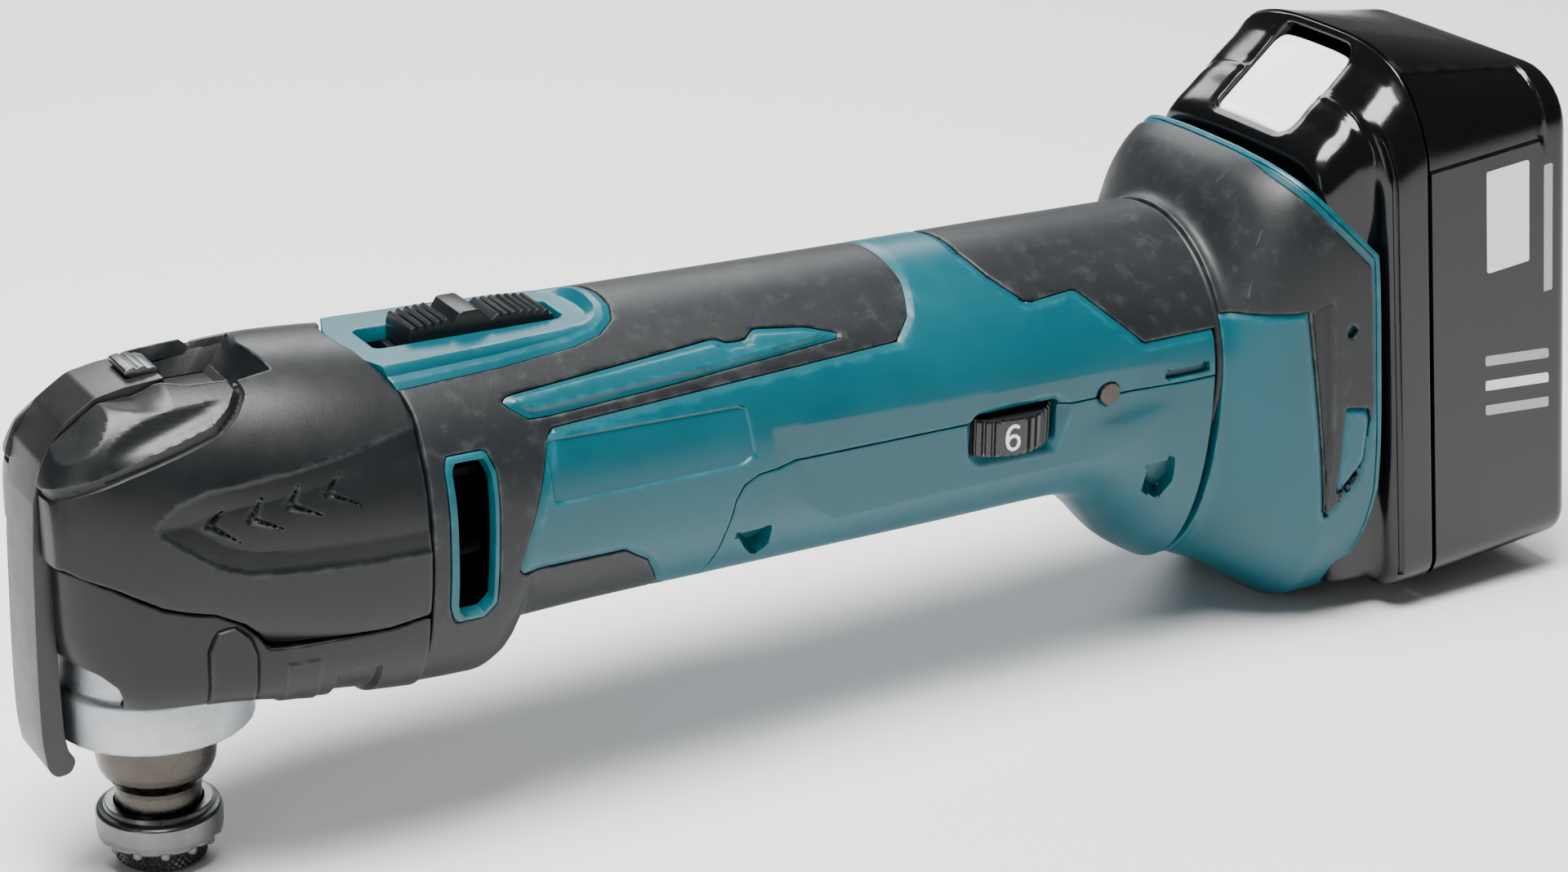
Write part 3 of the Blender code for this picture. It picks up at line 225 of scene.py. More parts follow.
M["wrap"] = plastic("cell_wrap", (0.03, 0.12, 0.35), 0.3, grain=0.1, scuff=0.1)
M["lens"] = plastic("lens_clear", (0.75, 0.78, 0.80), 0.12, grain=0.02, scuff=0.05)

FAMILY = {"teal_plastic": "teal", "black_plastic": "black", "black_rubber": "rubber", "gloss_black": "gloss", "cast_aluminium": "cast",
          "steel": "steel", "dark_steel": "bronze", "copper": "copper", "brass": "brass", "carbon": "carbon", "board_green": "board",
          "cell_wrap": "wrap", "white_plastic": "white", "clear_lens": "lens"}
SLOT_OF = {s["node"]: s["material_slot"] for s in frame["record"]["subparts"]}
for node, ob in frame["nodes"].items():
    ob.data.materials.clear()
    ob.data.materials.append(M["bronze"] if "screw" in node else M[FAMILY[SLOT_OF[node]]])
    ob.data.shade_smooth()
    ob.data.set_sharp_from_angle(angle=math.radians(32))


# ------------------------------------------------------------------ mesh engine
def smooth_table(rows, n):
    """Monotone cubic through the rows of a table; the first column is the parameter."""
    t = np.array(rows, float)
    x, Y = t[:, 0], t[:, 1:]
    h = np.diff(x)[:, None]
    d = np.diff(Y, axis=0) / h
    m = np.zeros_like(Y)
    m[0], m[-1] = d[0], d[-1]
    same = d[:-1] * d[1:] > 0
    w1, w2 = 2 * h[1:] + h[:-1], h[1:] + 2 * h[:-1]
    with np.errstate(divide='ignore', invalid='ignore'):
        hm = (w1 + w2) / (w1 / d[:-1] + w2 / d[1:])
    m[1:-1] = np.where(same, hm, 0.0)
    X = np.linspace(x[0], x[-1], n)
    i = np.clip(np.searchsorted(x, X, side='right') - 1, 0, len(x) - 2)
    hh = (x[i + 1] - x[i])[:, None]
    s = ((X - x[i])[:, None]) / hh
    out = ((2 * s**3 - 3 * s**2 + 1) * Y[i] + (s**3 - 2 * s**2 + s) * hh * m[i] + (-2 * s**3 + 3 * s**2) * Y[i + 1] + (s**3 - s**2) * hh * m[i + 1])
    return X, out


class Surf:
    """A surface sampled on a dense array of rings; u along the rings, v round each of them."""

    def __init__(self, R, wrap, hint=None):
        self.R, self.wrap, self.sign = R, wrap, 1.0
        if wrap:
            self.R = np.concatenate([R, R[:, :1]], 1)
        self.nu, self.nv = self.R.shape[0] - 1, self.R.shape[1] - 1
        u, v = np.meshgrid(np.linspace(self.nu * 0.2, self.nu * 0.8, 9), np.linspace(0, self.nv - 1, 24), indexing='ij')
        u, v = u.ravel(), v.ravel()
        n, p = self.normal(u, v), self.at(u, v)
        out = np.array(hint, float)[None] if hint is not None else p - self.R[np.clip(np.round(u).astype(int), 0, self.nu)][:, :-1].mean(1)
        if (n * out).sum() < 0:
            self.sign = -1.0

    def at(self, u, v):
        u = np.clip(u, 0, self.nu - 1e-9)
        if self.wrap:
            v = np.mod(v, self.nv)
        v = np.clip(v, 0, self.nv - 1e-9)
        i, j = u.astype(int), v.astype(int)
        a, b = (u - i)[:, None], (v - j)[:, None]
        R = self.R
        return (R[i, j] * (1 - a) + R[i + 1, j] * a) * (1 - b) + (R[i, j + 1] * (1 - a) + R[i + 1, j + 1] * a) * b

    def normal(self, u, v):
        eu, ev = 0.7, 0.7
        um, up = np.clip(u - eu, 0, self.nu), np.clip(u + eu, 0, self.nu)
        if self.wrap:
            vm, vp = v - ev, v + ev
        else:
            vm, vp = np.clip(v - ev, 0, self.nv), np.clip(v + ev, 0, self.nv)
        du = self.at(up, v) - self.at(um, v)
        dv = self.at(u, vp) - self.at(u, vm)
        n = np.cross(du, dv)
        ln = np.linalg.norm(n, axis=1, keepdims=True)
        n = n / np.maximum(ln, 1e-12)
        return n * self.sign


def super_surf(rows, n, nv=360, zc=AXIS, turn=-math.pi / 2, sign=1.0):
    """Loft of superellipse sections: rows are (s, x, half width, top, bottom, exponent above, exponent below)."""
    _, c = smooth_table(rows, n)
    v = turn + np.arange(nv) * 2 * math.pi / nv
    x, hw, top, bot, pt, pb = [c[:, k][:, None] for k in range(6)]
    co, si = np.cos(v)[None], np.sin(v)[None]
    p = np.where(si >= 0, pt, pb)
    r = (np.abs(co) ** p + np.abs(si) ** p) ** (-1.0 / p)
    h = np.where(si >= 0, top - zc, zc - bot)
    R = np.stack([x + 0 * co, hw * co * r, zc + h * si * r], -1)
    return Surf(R, True)


def poly_dist(pts, a, b):
    """Signed distance to a closed outline, positive inside."""
    pts = np.array(pts, float)
    q = np.stack([a, b], -1)
    best = np.full(len(q), 1e18)
    inside = np.zeros(len(q), bool)
    for p0, p1 in zip(pts, np.roll(pts, -1, 0)):
        e = p1 - p0
        w = q - p0
        t = np.clip((w @ e) / max(e @ e, 1e-12), 0, 1)
        dd = w - t[:, None] * e
        best = np.minimum(best, (dd * dd).sum(1))
        c1 = (p0[1] <= q[:, 1]) & (p1[1] > q[:, 1])
        c2 = (p0[1] > q[:, 1]) & (p1[1] <= q[:, 1])
        cr = e[0] * w[:, 1] - e[1] * w[:, 0]
        inside ^= (c1 & (cr > 0)) | (c2 & (cr < 0))
    d = np.sqrt(best)
    return np.where(inside, d, -d)


def shrink(pts, d):
    P = [Vector(p) for p in pts]
    area = sum(a.x * b.y - b.x * a.y for a, b in zip(P, P[1:] + P[:1]))
    s = 1.0 if area > 0 else -1.0
    out = []
    for i in range(len(P)):
        p0, p1, p2 = P[i - 1], P[i], P[(i + 1) % len(P)]
        e1, e2 = (p1 - p0).normalized(), (p2 - p1).normalized()
        n1, n2 = Vector((-e1.y, e1.x)) * s, Vector((-e2.y, e2.x)) * s
        k = 1.0 + n1.dot(n2)
        m = (n1 + n2) / max(k, 0.35)
        out.append((p1.x + m.x * d, p1.y + m.y * d))
    return out


def side(pts, r=0.0, half=None):
    """Outline seen from the side, (x, z); half 'near' keeps it to the -y side, 'far' to the other."""
    core = shrink(pts, r) if r else pts

    def f(P):
        d = poly_dist(core, P[:, 0], P[:, 2]) + r
        if half == 'near':
            d = np.minimum(d, -P[:, 1] - 1.0)
        elif half == 'far':
            d = np.minimum(d, P[:, 1] - 1.0)
        return d
    return f


def plan(pts, r=0.0, zmin=None):
    core = shrink(pts, r) if r else pts

    def f(P):
        d = poly_dist(core, P[:, 0], P[:, 1]) + r
        if zmin is not None:
            d = np.minimum(d, (P[:, 2] - zmin))
        return d
    return f


def stroke(pts, widths, half=None):
    """Tapered line seen from the side: positive inside."""
    pts = np.array(pts, float)

    def f(P):
        q = P[:, [0, 2]]
        best = np.full(len(q), -1e9)
        for k in range(len(pts) - 1):
            p0, p1 = pts[k], pts[k + 1]
            e = p1 - p0
            w = q - p0
            t = np.clip((w @ e) / (e @ e), 0, 1)
            d = np.linalg.norm(w - t[:, None] * e, axis=1)
            best = np.maximum(best, widths[k] * (1 - t) + widths[k + 1] * t - d)
        if half == 'near':
            best = np.minimum(best, -P[:, 1] - 1.0)
        return best
    return f


def inv(f):
    return lambda P: -f(P)


def both(*fs):
    return lambda P: np.minimum.reduce([f(P) for f in fs])


def either(*fs):
    return lambda P: np.maximum.reduce([f(P) for f in fs])


def split(uv, T, f, eps=1e-4):
    """Cuts every triangle where f changes sign. Returns new points, triangles and f."""
    f = np.where(np.abs(f) < eps, 0.0, f)
    s = np.sign(f).astype(int)
    E = np.concatenate([T[:, [0, 1]], T[:, [1, 2]], T[:, [2, 0]]])
    cross = s[E[:, 0]] * s[E[:, 1]] < 0
    if not cross.any():
        return uv, T, f
    key = np.sort(E, 1)
    code = key[:, 0].astype(np.int64) * len(uv) + key[:, 1]
    uc, invx = np.unique(code[cross], return_inverse=True)
    a, b = (uc // len(uv)).astype(int), (uc % len(uv)).astype(int)
    t = f[a] / (f[a] - f[b])
    new = uv[a] * (1 - t)[:, None] + uv[b] * t[:, None]
    idx = np.full(len(E), -1)
    idx[cross] = len(uv) + invx
    n = len(T)
    m = np.stack([idx[:n], idx[n:2 * n], idx[2 * n:]], 1)      # new point on edges 01, 12, 20
    cnt = (m >= 0).sum(1)
    out = [T[cnt == 0]]
    # one crossing: the third corner lies on the line
    for k in range(3):
        sel = (cnt == 1) & (m[:, k] >= 0)
        t3 = T[sel]
        A, Bq, Cq, N = t3[:, k], t3[:, (k + 1) % 3], t3[:, (k + 2) % 3], m[sel, k]
        out += [np.stack([A, N, Cq], 1), np.stack([N, Bq, Cq], 1)]
    # two crossings: one corner alone
    for k in range(3):
        sel = (cnt == 2) & (m[:, (k + 1) % 3] < 0)
        t3 = T[sel]
        A, Bq, Cq = t3[:, k], t3[:, (k + 1) % 3], t3[:, (k + 2) % 3]
        N1, N2 = m[sel, k], m[sel, (k + 2) % 3]
        out += [np.stack([A, N1, N2], 1), np.stack([N1, Bq, N2], 1), np.stack([Bq, Cq, N2], 1)]
    return np.concatenate([uv, new]), np.concatenate(out), np.concatenate([f, np.zeros(len(new))])


def surface_dist(S, uv, f):
    """Turns a field into distance along the surface, by its slope there."""
    u, v = uv[:, 0], uv[:, 1]
    P0 = S.at(u, v)
    F0 = f(P0)
    e = 0.5
    Pu1, Pu0 = S.at(np.clip(u + e, 0, S.nu), v), S.at(np.clip(u - e, 0, S.nu), v)
    Pv1, Pv0 = S.at(u, v + e), S.at(u, v - e)
    lu = np.linalg.norm(Pu1 - Pu0, axis=1) + 1e-9
    lv = np.linalg.norm(Pv1 - Pv0, axis=1) + 1e-9
    g = np.hypot((f(Pu1) - f(Pu0)) / lu, (f(Pv1) - f(Pv0)) / lv)
    return F0 / np.clip(g, 0.3, 1.2)


def mesh_object(name, V, F, mat, edge=None, angle=33):
    me = bpy.data.meshes.new(name)
    me.vertices.add(len(V))
    me.vertices.foreach_set("co", np.ascontiguousarray(V, np.float32).ravel())
    F = np.asarray(F)
    k = F.shape[1]
    me.loops.add(F.size)
    me.loops.foreach_set("vertex_index", F.astype(np.int32).ravel())
    me.polygons.add(len(F))
    me.polygons.foreach_set("loop_start", np.arange(0, F.size, k, dtype=np.int32))
    me.polygons.foreach_set("loop_total", np.full(len(F), k, dtype=np.int32))
    me.update(calc_edges=True)
    me.validate()
    if edge is not None:
        at = me.attributes.new("edge", 'FLOAT', 'POINT')
        at.data.foreach_set("value", np.asarray(edge, np.float32))
    ob = bpy.data.objects.new(name, me)
    bpy.context.scene.collection.objects.link(ob)
    me.materials.append(mat)
    me.shade_smooth()
    me.set_sharp_from_angle(angle=math.radians(angle))
    return ob


def shell(name, S, mat, us, vs, keep=(), feats=(), lip=0.45, wall=1.6, push=0.0, shape=None, shape_levels=(), angle=33, thick=None):
    """Piece of a surface as a closed shell: cut to `keep` (fields positive where material is), rounded at its
    borders, with features as (field, [(distance, height), ...]) and a wall of that depth all round."""
    us, vs = np.asarray(us, float), np.asarray(vs, float)
    wrap = S.wrap and abs((vs[-1] - vs[0]) - S.nv) < 1e-6
    nvv = len(vs) - 1 if wrap else len(vs)
    U, Vv = np.meshgrid(us, vs[:nvv], indexing='ij')
    uv = np.stack([U.ravel(), Vv.ravel()], -1)
    I = np.arange(len(us) * nvv).reshape(len(us), nvv)
    if wrap:
        I = np.concatenate([I, I[:, :1]], 1)
    a, b, c, d = I[:-1, :-1].ravel(), I[1:, :-1].ravel(), I[1:, 1:].ravel(), I[:-1, 1:].ravel()
    T = np.concatenate([np.stack([a, b, c], 1), np.stack([a, c, d], 1)])
    nv = float(S.nv)

    def cut_at(uv, T, fun, level):
        f = fun(uv) - level
        if wrap:                                    # keep the seam out of the interpolation
            vv = uv[T][:, :, 1]
            seam = (vv.max(1) - vv.min(1)) > nv / 2
            if seam.any():
                f = f.copy()
                f[np.unique(T[seam])] += 1e-3
                ks = T[seam]
                same = np.sign(f[ks]).max(1) == np.sign(f[ks]).min(1)
                if not same.all():
                    uv2 = uv.copy()
                    low = uv[:, 1] < nv / 4
                    # unroll the low side of the seam for the cut
                    cand = np.unique(ks[~same])
                    dup = cand[low[cand]]
                    mp = np.arange(len(uv))
                    mp[dup] = len(uv) + np.arange(len(dup))
                    uv2 = np.concatenate([uv2, uv[dup] + np.array([0, nv])])
                    f = np.concatenate([f, f[dup]])
                    T = T.copy()
                    rows = np.where(seam)[0][~same]
                    T[rows] = mp[T[rows]]
                    uv = uv2
        uv, T, f = split(uv, T, f)
        return uv, T, f

    for k in keep:
        uv, T, f = cut_at(uv, T, lambda q: k(S.at(q[:, 0], q[:, 1])), 0.0)
        T = T[(f[T] >= 0).all(1)]
        use = np.unique(T)
        mp = np.full(len(uv), -1)
        mp[use] = np.arange(len(use))
        uv, T = uv[use], mp[T]

    def border(q):
        if not keep:
            return np.full(len(q), 9.0)
        return np.minimum.reduce([surface_dist(S, q, k) for k in keep])
    if keep and lip:
        for lv in (0.12 * lip, 0.45 * lip, lip):
            uv, T, f = cut_at(uv, T, border, lv)
    for fun, prof in feats:
        for dd, _ in prof:
            uv, T, f = cut_at(uv, T, lambda q, fun=fun: surface_dist(S, q, fun), dd)
    for lv_fun in shape_levels:
        uv, T, f = cut_at(uv, T, lambda q, g=lv_fun: g(S.at(q[:, 0], q[:, 1])), 0.0)

    P = S.at(uv[:, 0], uv[:, 1])
    N = S.normal(uv[:, 0], uv[:, 1])
    h = np.full(len(uv), push, float)
    wear = np.zeros(len(uv))
    if keep and lip:
        D = np.maximum(border(uv), 0)
        h -= np.where(D < lip, lip - np.sqrt(np.maximum(lip**2 - (lip - np.minimum(D, lip))**2, 0)), 0) * 0.8
        wear = np.maximum(wear, np.clip(1 - np.abs(D - 0.35 * lip) / (0.9 * lip), 0, 1))
    for fun, prof in feats:
        D = surface_dist(S, uv, fun)
        ds, hs = [p[0] for p in prof], [p[1] for p in prof]
        h += np.interp(D, ds, hs)
        top = ds[int(np.argmax(hs))]
        if max(hs) - min(hs) > 0.25:
            wear = np.maximum(wear, np.clip(1 - np.abs(D - top) / 0.5, 0, 1) * 0.8)
    if shape is not None:
        h += shape(P, N)
    Pout = P + N * h[:, None]
    # orientation
    if len(T):
        t0 = Pout[T[:, 0]]
        fn = np.cross(Pout[T[:, 1]] - t0, Pout[T[:, 2]] - t0)
        flip = (fn * N[T[:, 0]]).sum() < 0
        if flip:
            T = T[:, ::-1]
    # inner skin and walls
    tk = wall if thick is None else thick
    Pin = P + N * (np.minimum(h, 0)[:, None] - tk)
    E = np.concatenate([T[:, [0, 1]], T[:, [1, 2]], T[:, [2, 0]]])
    code = np.sort(E, 1)
    code = code[:, 0].astype(np.int64) * len(uv) + code[:, 1]
    uq, first, counts = np.unique(code, return_index=True, return_counts=True)
    be = E[first[counts == 1]]
    n = len(uv)
    Fout = [T, T[:, ::-1] + n]
    Fw = np.concatenate([np.stack([be[:, 1], be[:, 0], be[:, 0] + n], 1), np.stack([be[:, 1], be[:, 0] + n, be[:, 1] + n], 1)])
    V = np.concatenate([Pout, Pin])
    F = np.concatenate(Fout + [Fw])
    ob = mesh_object(name, W(V), F, mat, np.concatenate([wear, np.zeros(n)]), angle)
    bm = bmesh.new()
    bm.from_mesh(ob.data)
    bmesh.ops.remove_doubles(bm, verts=bm.verts, dist=1e-7)
    bmesh.ops.dissolve_degenerate(bm, edges=bm.edges, dist=1e-8)
    bm.to_mesh(ob.data)
    bm.free()
    return ob


def turned(name, profile, mat, centre=(0, 0, 0), seg=160, axis='Z', rfun=None, edge=None, closed_ring=False):
    """Turned piece: profile of (radius, height) pairs; rfun(r, h, angle) may cut ribs or knurls."""
    pr = np.array(profile, float)
    a = np.arange(seg) * 2 * math.pi / seg
    r = np.repeat(pr[:, 0][:, None], seg, 1)
    h = np.repeat(pr[:, 1][:, None], seg, 1)
    A = np.repeat(a[None], len(pr), 0)
    if rfun is not None:
        r = rfun(r, h, A)
    X, Y = r * np.cos(A), r * np.sin(A)
    if axis == 'Z':
        V = np.stack([X, Y, h], -1)
    elif axis == 'X':
        V = np.stack([h, X, Y], -1)
    else:
        V = np.stack([X, h, -Y], -1)
    V = V.reshape(-1, 3) + np.array(centre, float)
    n = len(pr)
    I = np.arange(n * seg).reshape(n, seg)
    J = np.roll(I, -1, 1)
    F = []
    rng = n if closed_ring else n - 1
    for i in range(rng):
        k = (i + 1) % n
        F.append(np.stack([I[i], I[k], J[k], J[i]], 1))
    F = np.concatenate(F)
    F = np.concatenate([F[:, [0, 1, 2]], F[:, [0, 2, 3]]])
    ob = mesh_object(name, W(V), F, mat, None if edge is None else np.repeat(np.array(edge, float), seg), 30)
    bm = bmesh.new()
    bm.from_mesh(ob.data)
    bmesh.ops.remove_doubles(bm, verts=bm.verts, dist=2e-6)
    bmesh.ops.dissolve_degenerate(bm, edges=bm.edges, dist=1e-8)
    bmesh.ops.recalc_face_normals(bm, faces=bm.faces)
    bm.to_mesh(ob.data)
    bm.free()
    return ob


def fillet(profile, r=0.3, n=3):
    """Rounds the corners of an open profile."""
    P = [np.array(p, float) for p in profile]
    out = [P[0]]
    for i in range(1, len(P) - 1):
        a, b, c = P[i - 1], P[i], P[i + 1]
        la, lc = np.linalg.norm(a - b), np.linalg.norm(c - b)
        q = min(r, la * 0.45, lc * 0.45)
        if q < 0.02:
            out.append(b)
            continue
        p0, p1 = b + (a - b) / la * q, b + (c - b) / lc * q
        for k in range(n + 1):
            t = k / n
            out.append((1 - t)**2 * p0 + 2 * t * (1 - t) * b + t * t * p1)
    out.append(P[-1])
    return out


def extruded(name, pts, y0, y1, mat, axis='Y', bevel=0.5, segs=3, centre=None, sub=0):
    """Outline extruded across the tool, with rounded edges."""
    bm = bmesh.new()
    lo = [bm.verts.new(Vector(W((p[0], y0, p[1]) if axis == 'Y' else ((p[0], p[1], y0) if axis == 'Z' else (y0, p[0], p[1]))))) for p in pts]
    hi = [bm.verts.new(Vector(W((p[0], y1, p[1]) if axis == 'Y' else ((p[0], p[1], y1) if axis == 'Z' else (y1, p[0], p[1]))))) for p in pts]
    n = len(pts)
    f0 = bm.faces.new(lo)
    f1 = bm.faces.new(hi[::-1])
    for i in range(n):
        bm.faces.new((lo[(i + 1) % n], lo[i], hi[i], hi[(i + 1) % n]))
    bmesh.ops.recalc_face_normals(bm, faces=bm.faces)
    if bevel:
        rim = [e for e in bm.edges if (e.verts[0] in lo and e.verts[1] in lo) or (e.verts[0] in hi and e.verts[1] in hi)]
        bmesh.ops.bevel(bm, geom=rim, offset=bevel / 1000, segments=segs, profile=0.5, affect='EDGES', clamp_overlap=True)
    bmesh.ops.triangulate(bm, faces=[f for f in bm.faces if len(f.verts) > 4])
    me = bpy.data.meshes.new(name)
    bm.to_mesh(me)
    bm.free()
    ob = bpy.data.objects.new(name, me)
    bpy.context.scene.collection.objects.link(ob)
    me.materials.append(mat)
    me.shade_smooth()
    me.set_sharp_from_angle(angle=math.radians(30))
    return ob


def round_poly(pts, r, n=4):
    """Rounds the corners of a closed outline; r may be one radius or one per corner."""
    out = []
    m = len(pts)
    for i in range(m):
        a, b, c = (np.array(pts[(i + k) % m], float) for k in (-1, 0, 1))
        rr = r[i] if isinstance(r, (list, tuple)) else r
        la, lc = np.linalg.norm(a - b), np.linalg.norm(c - b)
        q = min(rr, la * 0.48, lc * 0.48)
        if q < 0.02:
            out.append(tuple(b))
            continue
        p0, p1 = b + (a - b) / la * q, b + (c - b) / lc * q
        for k in range(n + 1):
            t = k / n
            out.append(tuple((1 - t)**2 * p0 + 2 * t * (1 - t) * b + t * t * p1))
    return out


def put(ob, body, slot, *nodes):
    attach(ob, body)
    if nodes:
        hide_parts(*nodes)
    return ob


def drop_near(P, d, w):
    return np.clip((d) / w, 0, 1)


# ------------------------------------------------------------------ motor housing and overmoulds
BODY = [
    (36.0, 36.0, 32.2, 102.2, 31.0, 2.0, 2.6),
    (46.3, 46.3, 32.1, 102.1, 30.2, 2.0, 2.6),
    (60.0, 60.0, 31.95, 101.95, 29.8, 2.0, 2.6),
    (65.0, 65.0, 31.9, 101.9, 31.4, 2.0, 2.4),
    (70.0, 70.0, 31.85, 101.85, 37.6, 2.0, 2.0),
    (120.0, 120.0, 31.3, 101.3, 38.7, 2.0, 2.0),
    (170.0, 170.0, 30.8, 100.95, 39.15, 2.0, 2.0),
    (198.0, 198.0, 30.7, 100.9, 39.6, 2.0, 2.0),
    (206.0, 206.0, 30.6, 100.8, 38.4, 2.0, 2.0),
    (214.0, 214.0, 30.5, 100.75, 32.0, 2.0, 2.0),
    (222.0, 222.0, 30.4, 100.7, 23.6, 2.0, 2.1),
    (230.0, 230.0, 30.3, 100.6, 18.6, 2.0, 2.2)]
BS = super_surf(BODY, 389, 720)                       # one ring each half millimetre
BU = lambda x: (np.asarray(x, float) - 36.0) * 2.0    # x to u

JOINT_LINE = [(46.3, 0.0), (46.3, 92.0), (45.5, 95.5), (43.6, 98.7), (40.9, 101.4), (38.9, 102.4), (37.5, 103.6), (37.5, 120.0)]
FRONT_SKIN = [(30.0, 120), (30.0, 20), (101.5, 20), (101.0, 44.0), (94.7, 53.4), (88.6, 57.6), (66.2, 57.6), (64.6, 58.6), (72.2, 84.6), (73.6, 85.9),
              (153.0, 89.3), (157.6, 93.0), (160.2, 98.0), (160.4, 102), (160, 120)]
REAR_SKIN = [(176.0, 120), (177.2, 99.9), (179.7, 96.6), (185.4, 92.0), (187.0, 91.7), (198.2, 92.5), (211.6, 80.5), (240, 80.8), (240, 120)]
STRIPE = [(64.6, 91.3), (69.4, 88.0), (74.0, 88.0), (98.6, 89.1), (140.8, 92.0), (134.0, 94.2), (122.7, 95.3), (119.9, 93.9), (116.0, 93.9), (113.4, 94.9), (66.3, 92.2)]
STRIPE_TOP = [(67.3, 90.8), (70.2, 89.3), (75.0, 89.4), (112.2, 90.7), (136.4, 92.5), (133.0, 93.3), (121.7, 94.1), (120.0, 92.6), (114.9, 92.5), (113.4, 93.7), (68.0, 91.6)]
PANEL = [(30.0, -19.2), (46.5, -19.0), (67.2, -17.9), (84.0, -16.2), (90.5, -14.4), (94.6, -11.2), (96.4, -6.5), (96.8, 0.0),
         (96.4, 6.5), (94.6, 11.2), (90.5, 14.4), (84.0, 16.2), (67.2, 17.9), (46.5, 19.0), (30.0, 19.2)]
SLOT = [(46.4, -5.4), (47.4, -6.4), (85.4, -6.4), (87.2, -4.6), (87.2, 4.6), (85.4, 6.4), (47.4, 6.4), (46.4, 5.4)]
LOWER_LINE = [(110.6, -20), (110.6, 46.0), (111.2, 56.0), (112.4, 64.5), (114.0, 67.6), (117.4, 69.3), (122.0, 69.8), (166.0, 70.2), (240, 70.9), (240, -20)]
VENT = [(50.6, 84.4), (58.8, 84.4), (60.4, 80.0), (60.0, 53.0), (57.4, 50.2), (51.2, 50.2), (50.0, 54.0), (49.9, 82.0)]
VENT_IN = [(51.9, 83.0), (58.2, 83.0), (59.3, 79.6), (58.9, 54.0), (56.8, 51.6), (52.2, 51.6), (51.5, 54.4), (51.2, 81.6)]
LABEL = [(71.9, 71.5), (71.4, 84.0), (115.6, 83.4), (116.4, 73.6), (113.6, 71.9)]
DIALW = [(168.9, 61.3), (169.0, 71.6), (190.6, 71.9), (190.6, 61.1)]
DIALRIM = [(167.4, 69.9), (170.2, 72.9), (189.6, 73.4), (192.4, 71.2), (193.6, 69.9), (190.9, 58.6), (171.6, 58.8), (168.9, 60.4)]
NOTCH = [(216.6, 71.7), (216.6, 73.7), (227.8, 73.7), (227.8, 71.9)]
SMALLV = [(114.3, 55.6), (122.2, 55.9), (123.2, 50.0), (121.4, 47.2), (117.6, 51.0)]
VENT2 = [(215.4, 51.4), (221.4, 52.3), (222.0, 46.5), (220.0, 41.8), (216.4, 44.6)]

f_joint = lambda P: -poly_dist([(-60, 0)] + JOINT_LINE + [(-60, 120)], P[:, 0], P[:, 2]) - 0.0
f_skin = side(FRONT_SKIN, 0.8)
f_panel = plan(PANEL, 0, 84)
f_stripe = side(STRIPE, 0.45)
f_stripe_top = side(STRIPE_TOP, 0.3)
f_vent = side(VENT, 0.9)
f_vent_in = side(VENT_IN, 0.8)
f_slot = plan(SLOT, 0.6, 84)
f_rskin = side(REAR_SKIN, 0.6)
f_lower = side(LOWER_LINE, 1.5)
f_label = side(LABEL, 1.0)
f_dialw = side(DIALW, 0.5, 'near')
f_dialrim = side(DIALRIM, 0.8, 'near')
f_notch = side(NOTCH, 0.2)
f_small = side(SMALLV, 0.3)
f_vent2 = side(VENT2, 0.3)
f_rubber = both(f_skin, inv(f_panel), inv(f_stripe), inv(f_vent))
f_hole = lambda P: 1.8 - np.hypot(P[:, 0] - 202.4, P[:, 2] - 70.9)
f_hole_rim = lambda P: 3.1 - np.hypot(P[:, 0] - 202.4, P[:, 2] - 70.9)

SIDE_A = math.radians(4.0)
PLANES = {}


def side_plane(nx, ny, nz, x, y, z):
    n = np.array([nx, ny, nz], float)
    n /= np.linalg.norm(n)
    return n, float(n @ np.array([x, y, z]))


FLAT = side_plane(0.0, -1.0, -0.151, 150, -30.2, 77.0)      # flat of the side between the two long creases
RAMP = side_plane(0.45, -1.0, 0.171, 121.8, -31.2, 70.0)    # its front end, running out


def depth(pl, P):
    n, c = pl
    Q = P.copy()
    Q[:, 1] = -np.abs(Q[:, 1])
    return Q @ n - c


def body_shape(P, N):
    """Flats along the rear half of the housing, on both sides."""
    cutd = np.maximum(np.minimum(depth(FLAT, P), depth(RAMP, P)), 0.0)
    fade = np.clip((209.0 - P[:, 0]) / 12.0 + np.clip((P[:, 2] - 62.0) / 5.0, 0, 1), 0, 1) * np.clip((P[:, 2] - 46.0) / 6.0, 0, 1)
    return -np.minimum(cutd, 2.6) * fade


body_levels = [lambda P: depth(FLAT, P), lambda P: depth(RAMP, P), lambda P: depth(FLAT, P) - depth(RAMP, P)]

us = BU(np.concatenate([np.arange(37.0, 66, 1.0), np.arange(66, 230.01, 1.6)]))
vs = np.linspace(0, 720, 181)
SEAT = [(-1.7, 0.0), (-1.5, -0.02), (-0.06, -0.45), (0.06, -1.6)]
teal_feats = [
    (f_rubber, SEAT), (f_rskin, SEAT),
    (f_stripe_top, [(-0.5, 0.0), (0.25, 0.55)]),
    (f_label, [(-0.15, 0.0), (0.3, -0.45)]),
    (f_dialrim, [(0.0, 0.0), (2.2, -1.5)]),
    (f_notch, [(-0.1, 0.0), (0.12, -1.6)]),
    (both(f_hole_rim), [(0.0, 0.0), (1.6, -1.0)]),
    (f_vent, [(-0.3, 0.0), (0.3, 0.5)]),
    (f_panel, [(1.2, 0.0), (3.0, 0.0)]),
]
PANEL_IN = [(30.0, -16.6), (46.5, -16.4), (67.2, -15.4), (83.0, -13.8), (88.4, -12.2), (91.8, -9.4), (93.4, -5.5), (93.8, 0.0),
            (93.4, 5.5), (91.8, 9.4), (88.4, 12.2), (83.0, 13.8), (67.2, 15.4), (46.5, 16.4), (30.0, 16.6)]
f_panel_in = plan(PANEL_IN, 0, 84)


